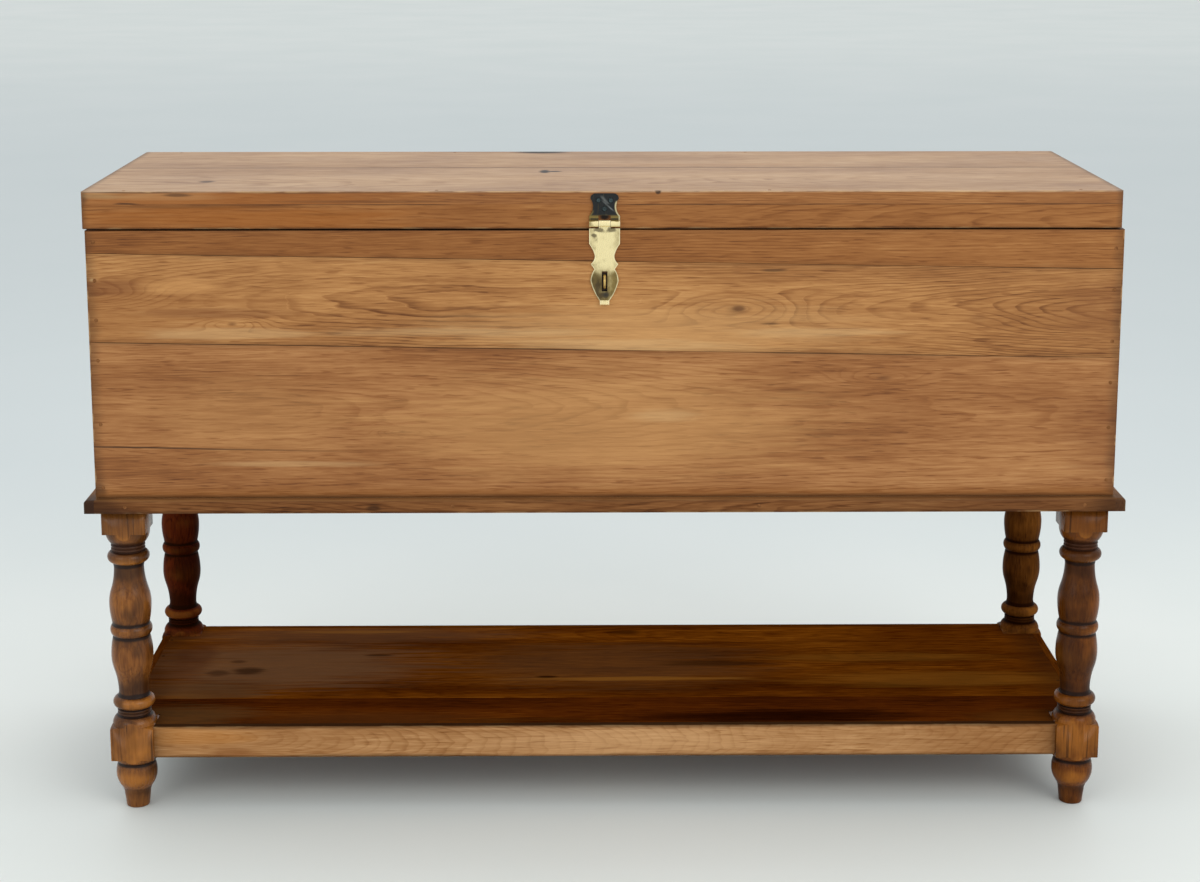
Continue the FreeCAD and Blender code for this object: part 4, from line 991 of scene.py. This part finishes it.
# The lower lobe is darker towards its left side.
darker_to_left = lower * ((HASP_X - leaf.x).rise(-0.010, 0.008) * 0.45 + 0.2 + leaf.cloud)
dent = leaf.near(0.6465, HASP_X + 0.0015, 0.0050, 0.0075, "x")
LEAF_MARKS = [
    (lower * 0.35, tone(166, 140, 82)),
    (darker_to_left, SMUDGE),
    (dark * 0.7, SMUDGE),
    (dent * 0.8, TARNISH),
    (rim * 0.6, BRIGHT_RUB_AND_HIGHLIGHT),
]
dress("hasp_leaf", leaf.polish(GOLD, olive, dark * 0.3, rough=0.28, marks=LEAF_MARKS, metal=0.6))

STROKE_Z, SECOND_Z, SHADOW_Z = 0.7590, 0.7520, 0.7365
top = Brass("hasp_top_leaf", 62.0)
rim = top.inside("hasp_top_leaf", HASP_X).rise(2.4 * MM, 0.6 * MM)
across = top.x - HASP_X
stroke = (across + (top.z - STROKE_Z) * 0.75).size().rise(3.2 * MM, 0.4 * MM)
stroke = stroke * (top.z - STROKE_Z).size().rise(6 * MM, 3 * MM)
second = (across - 4 * MM + (top.z - SECOND_Z) * 1.1).size().rise(1.8 * MM, 0.4 * MM)
second = second * (top.z - SECOND_Z).size().rise(8 * MM, 3 * MM)
gold_edge = rim * across.rise(4 * MM, 9 * MM) * top.z.rise(0.759, 0.755)
low_edge = rim * across.rise(-9 * MM, -12 * MM) * top.z.rise(0.748, 0.744)
# Painted shadow: a dark band just above the knuckles, drawn as tarnish.
above = (top.z - SHADOW_Z).size().rise(1.5 * MM, 0.5 * MM) * 0.8
dark = top.z.rise(0.7390, 0.7420).at_least(above) * (1 - gold_edge.at_least(low_edge * 0.6))
olive = top.ragged(top.z.rise(0.7335, 0.7350) * 0.7 + across.size().rise(9 * MM, 17 * MM) * 0.35)
GREY_RUB = tone(116, 118, 116)
TOP_MARKS = [
    (stroke * (0.5 + top.cloud * 2), GREY_RUB),
    (second * (0.55 + top.cloud * 2), GREY_RUB),
    (top.near(0.7482, HASP_X, 0.0024, 0.0022, "x") * 0.9, tone(196, 188, 160)),
    (gold_edge * 0.5, BRIGHT_RUB_AND_HIGHLIGHT),
]
dress("hasp_top_leaf", top.polish(GOLD, olive, dark, rough=0.34, marks=TOP_MARKS, metal=0.7, gloss=0.25))
dress("hasp_pin", aged_brass("hasp_pin", 63.0, OLD_GOLD, 0.05))
dress("hasp_staple", aged_brass("hasp_staple", 64.0, OLD_GOLD, 0.0))

# %% Hinges
hinges = [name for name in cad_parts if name.startswith("hinge_") and "screws" not in name]
for number, node in enumerate(hinges):
    dress(node, aged_brass(node, 70.0 + number, OLD_GOLD, 0.12))
print("hinge pieces:", len(hinges))

# %% [markdown]
# ## Nails and screws
#
# The chest is held by dozens of nails and screws. They all have the same head, so they are made once and
# repeated on points, which is what Geometry Nodes are for. Where each one sits, and which way it points, is
# measured on the exact model: every nail is an island of its mesh, and its head is its thicker end.

# %% Where the fasteners sit
def islands(node):
    """The loose pieces of a node's mesh, as arrays of points."""
    work = bmesh.new()
    work.from_mesh(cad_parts[node].data)
    bmesh.ops.remove_doubles(work, verts=work.verts, dist=WELD)
    left = set(work.verts)
    found = []
    while left:
        group, edge = set(), [left.pop()]
        while edge:
            vert = edge.pop()
            group.add(vert)
            for link in vert.link_edges:
                other = link.other_vert(vert)
                if other in left:
                    left.remove(other)
                    edge.append(other)
        found.append(np.array([v.co for v in group]))
    work.free()
    return sorted(found, key=lambda points: tuple(points.mean(0).round(4)))


def head_and_way(points):
    """The middle of the head's outer face, the way it faces, and the whole length."""
    low, high = points.min(0), points.max(0)
    axis = int(np.argmax(high - low))
    middle = (low + high) / 2
    reach = np.linalg.norm(np.delete(points - middle, axis, 1), axis=1)
    ends = [reach[np.abs(points[:, axis] - end[axis]) < 2 * MM].max() for end in (low, high)]
    way = np.zeros(3)
    way[axis] = 1.0 if ends[1] > ends[0] else -1.0
    head = middle.copy()
    head[axis] = high[axis] if way[axis] > 0 else low[axis]
    return head, way, float(high[axis] - low[axis])


# %% Tree for one kind of fastener
def geometry_tree(name, inputs):
    tree = bpy.data.node_groups.new(name, "GeometryNodeTree")
    tree.interface.new_socket("Geometry", in_out="INPUT", socket_type="NodeSocketGeometry")
    for label, kind, value in inputs:
        socket = tree.interface.new_socket(label, in_out="INPUT", socket_type=kind)
        if value is not None:
            socket.default_value = value
    tree.interface.new_socket("Geometry", in_out="OUTPUT", socket_type="NodeSocketGeometry")
    graph = Graph(tree)
    start = tree.nodes.new("NodeGroupInput")
    return graph, {socket.name: Value(graph, socket) for socket in start.outputs if socket.name}


SIZES = {"Head radius": 3.0, "Throat radius": 3.0, "Head height": 1.5, "Shank radius": 1.2, "Length": 20.0,
         "Slot width": 0.7, "Slot depth": 0.6}


def fastener_tree(slotted):
    """Points with a way become heads with a shank. A screw's head has a slot, a nail's is plain."""
    number, whole = "NodeSocketFloat", "NodeSocketInt"
    inputs = [(label, number, size * MM) for label, size in SIZES.items()]
    inputs += [("Tilt", number, 0.03), ("Seed", whole, 1), ("Material", "NodeSocketMaterial", None)]
    graph, given = geometry_tree("screws" if slotted else "nails", inputs)
    head = graph.node("GeometryNodeMeshCone", {}, {
        "Vertices": 20, "Radius Top": given["Head radius"], "Radius Bottom": given["Throat radius"],
        "Depth": given["Head height"]})
    down = graph.node("ShaderNodeCombineXYZ", {}, {"Z": given["Head height"] * -1.0})
    head = graph.node("GeometryNodeTransform", {}, {"Geometry": head, "Translation": down})
    if slotted:
        size = graph.node("ShaderNodeCombineXYZ", {}, {
            "X": given["Head radius"] * 2.4, "Y": given["Slot width"], "Z": given["Slot depth"] * 2.0})
        bar = graph.node("GeometryNodeMeshCube", {}, {"Size": size})
        cut = {"Mesh 1": head, "Mesh 2": bar}
        head = graph.node("GeometryNodeMeshBoolean", {"operation": "DIFFERENCE"}, cut)
    shank = graph.node("GeometryNodeMeshCylinder", {}, {
        "Vertices": 10, "Radius": given["Shank radius"], "Depth": given["Length"] - given["Head height"]})
    sunk = graph.node("ShaderNodeCombineXYZ", {}, {"Z": (given["Length"] + given["Head height"]) * -0.5})
    shank = graph.node("GeometryNodeTransform", {}, {"Geometry": shank, "Translation": sunk})
    whole_piece = graph.node("GeometryNodeJoinGeometry")
    for part in (shank, head):
        graph.tree.links.new(part.socket, whole_piece.socket.node.inputs["Geometry"])
    way = graph.node("GeometryNodeInputNamedAttribute", {"data_type": "FLOAT_VECTOR"}, {"Name": "way"})
    facing = graph.node("FunctionNodeAlignRotationToVector", {"axis": "Z"}, {"Vector": way})
    points = graph.node("GeometryNodeInstanceOnPoints", {}, {
        "Points": given["Geometry"], "Instance": whole_piece, "Rotation": facing})
    lean = given["Tilt"] * -1.0
    least = graph.node("ShaderNodeCombineXYZ", {}, {"X": lean, "Y": lean, "Z": 0.0})
    most = graph.node("ShaderNodeCombineXYZ", {}, {"X": given["Tilt"], "Y": given["Tilt"], "Z": 2 * math.pi})
    turn = graph.node("FunctionNodeRandomValue", {"data_type": "FLOAT_VECTOR"}, {
        "Min": least, "Max": most, "Seed": given["Seed"]})
    turned = graph.node("GeometryNodeRotateInstances", {}, {"Instances": points, "Rotation": turn})
    real = graph.node("GeometryNodeRealizeInstances", {}, {"Geometry": turned})
    last = graph.node("GeometryNodeSetMaterial", {}, {"Geometry": real, "Material": given["Material"]})
    out = graph.tree.nodes.new("NodeGroupOutput")
    graph.tree.links.new(last.socket, out.inputs["Geometry"])
    return graph.tree


SCREW, NAIL = fastener_tree(True), fastener_tree(False)


# %% Put them in
def repeat(tree, node, body, slot, material, sunk, **sizes):
    """Runs the tree on the node's fasteners and keeps the result as one plain mesh."""
    name = "set_" + node
    heads = [head_and_way(points) for points in islands(node)]
    seats = [head - way * sunk for head, way, length in heads]
    mesh = bpy.data.meshes.new(name + "_points")
    mesh.from_pydata([tuple(seat) for seat in seats], [], [])
    layer = mesh.attributes.new("way", "FLOAT_VECTOR", "POINT")
    layer.data.foreach_set("vector", np.array([way for head, way, length in heads], np.float32).ravel())
    carrier = bpy.data.objects.new(name + "_points", mesh)
    bpy.context.scene.collection.objects.link(carrier)
    modifier = carrier.modifiers.new("repeat", "NODES")
    modifier.node_group = tree
    settings = {"Length": heads[0][2] - sunk, "Material": material, **sizes}
    for item in tree.interface.items_tree:
        if item.item_type == "SOCKET" and item.in_out == "INPUT" and item.name in settings:
            modifier[item.identifier] = settings[item.name]
    bpy.context.view_layer.update()
    solid = bpy.data.meshes.new_from_object(carrier.evaluated_get(bpy.context.evaluated_depsgraph_get()))
    carrier.modifiers.clear()
    bpy.data.objects.remove(carrier)
    made = bpy.data.objects.new(name, solid)
    solid.name = name
    bpy.context.scene.collection.objects.link(made)
    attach(made, body)
    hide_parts(node)
    print(name, "repeats", len(heads), "faces", len(solid.polygons))


def iron(name, seed, stops):
    made = Wood(name, "Z", seed)
    rust = made.noise(300.0, 300.0, 3.0, 3.0)
    made.colour = made.ramp(rust, stops)
    made.height, made.dull = rust, 0.6 + rust * 0.3
    return close(made, 0.1 * MM, specular_ior_level=0.0)


def head_sizes(*sizes):
    """Head radius, throat radius, head height and shank radius, given in millimetres."""
    return {label: size * MM for label, size in zip(SIZES, sizes)}


NAIL_HEAD = head_sizes(2.15, 2.15, 1.1, 1.0)
FLAT_HEAD = head_sizes(2.9, 1.4, 1.5, 1.3)
DOMED_HEAD = head_sizes(2.2, 2.95, 1.4, 1.3)
WAXED_NAIL = palette((30, 14, 4), (52, 30, 12), (70, 42, 20), (96, 62, 32))
BROWN_NAIL = palette((84, 50, 26), (112, 72, 42), (132, 88, 54), (156, 110, 70))
NAILS = (
    ("case_nails", "chest", BROWN_NAIL),
    ("ledge_nails", "chest", BROWN_NAIL),
    ("shelf_nails", "chest", WAXED_NAIL),
    ("lid_nails", "lid", BROWN_NAIL),
)
for number, (node, body, stops) in enumerate(NAILS):
    finish = iron(node, 81.0 + number, stops)
    repeat(NAIL, node, body, "nail_iron", finish, 0.25 * MM, Seed=number, **NAIL_HEAD)
screw_brass = aged_brass("screw_brass", 91.0, OLD_GOLD, 0.1)
worn_screw = Brass("dark_screw", 92.0)
dark_screw = worn_screw.polish(tone(74, 88, 90), 0.0, (worn_screw.cloud + 0.1).rise(0.0, 0.4), rough=0.4)
SCREWS = (
    ("hinge_case_screws", "chest", screw_brass, 0.1 * MM, 11, FLAT_HEAD),
    ("hinge_lid_screws", "lid", screw_brass, 0.1 * MM, 12, FLAT_HEAD),
    ("hasp_screws", "lid", dark_screw, 0.05 * MM, 21, DOMED_HEAD),
)
for node, body, finish, sunk, seed, sizes in SCREWS:
    repeat(SCREW, node, body, "dark_brass", finish, sunk, Seed=seed, Tilt=0.0, **sizes)

# %% [markdown]
# ## The size
#
# Dressing must not make the chest grow. The exact model's box and the dressed one's are both printed.

# %% Size
sizes = {"cad": [list(corner) for corner in cad_box], "visual": [list(corner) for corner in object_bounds()]}
for name, corners in sizes.items():
    print(name, [[round(part, 4) for part in corner] for corner in corners])
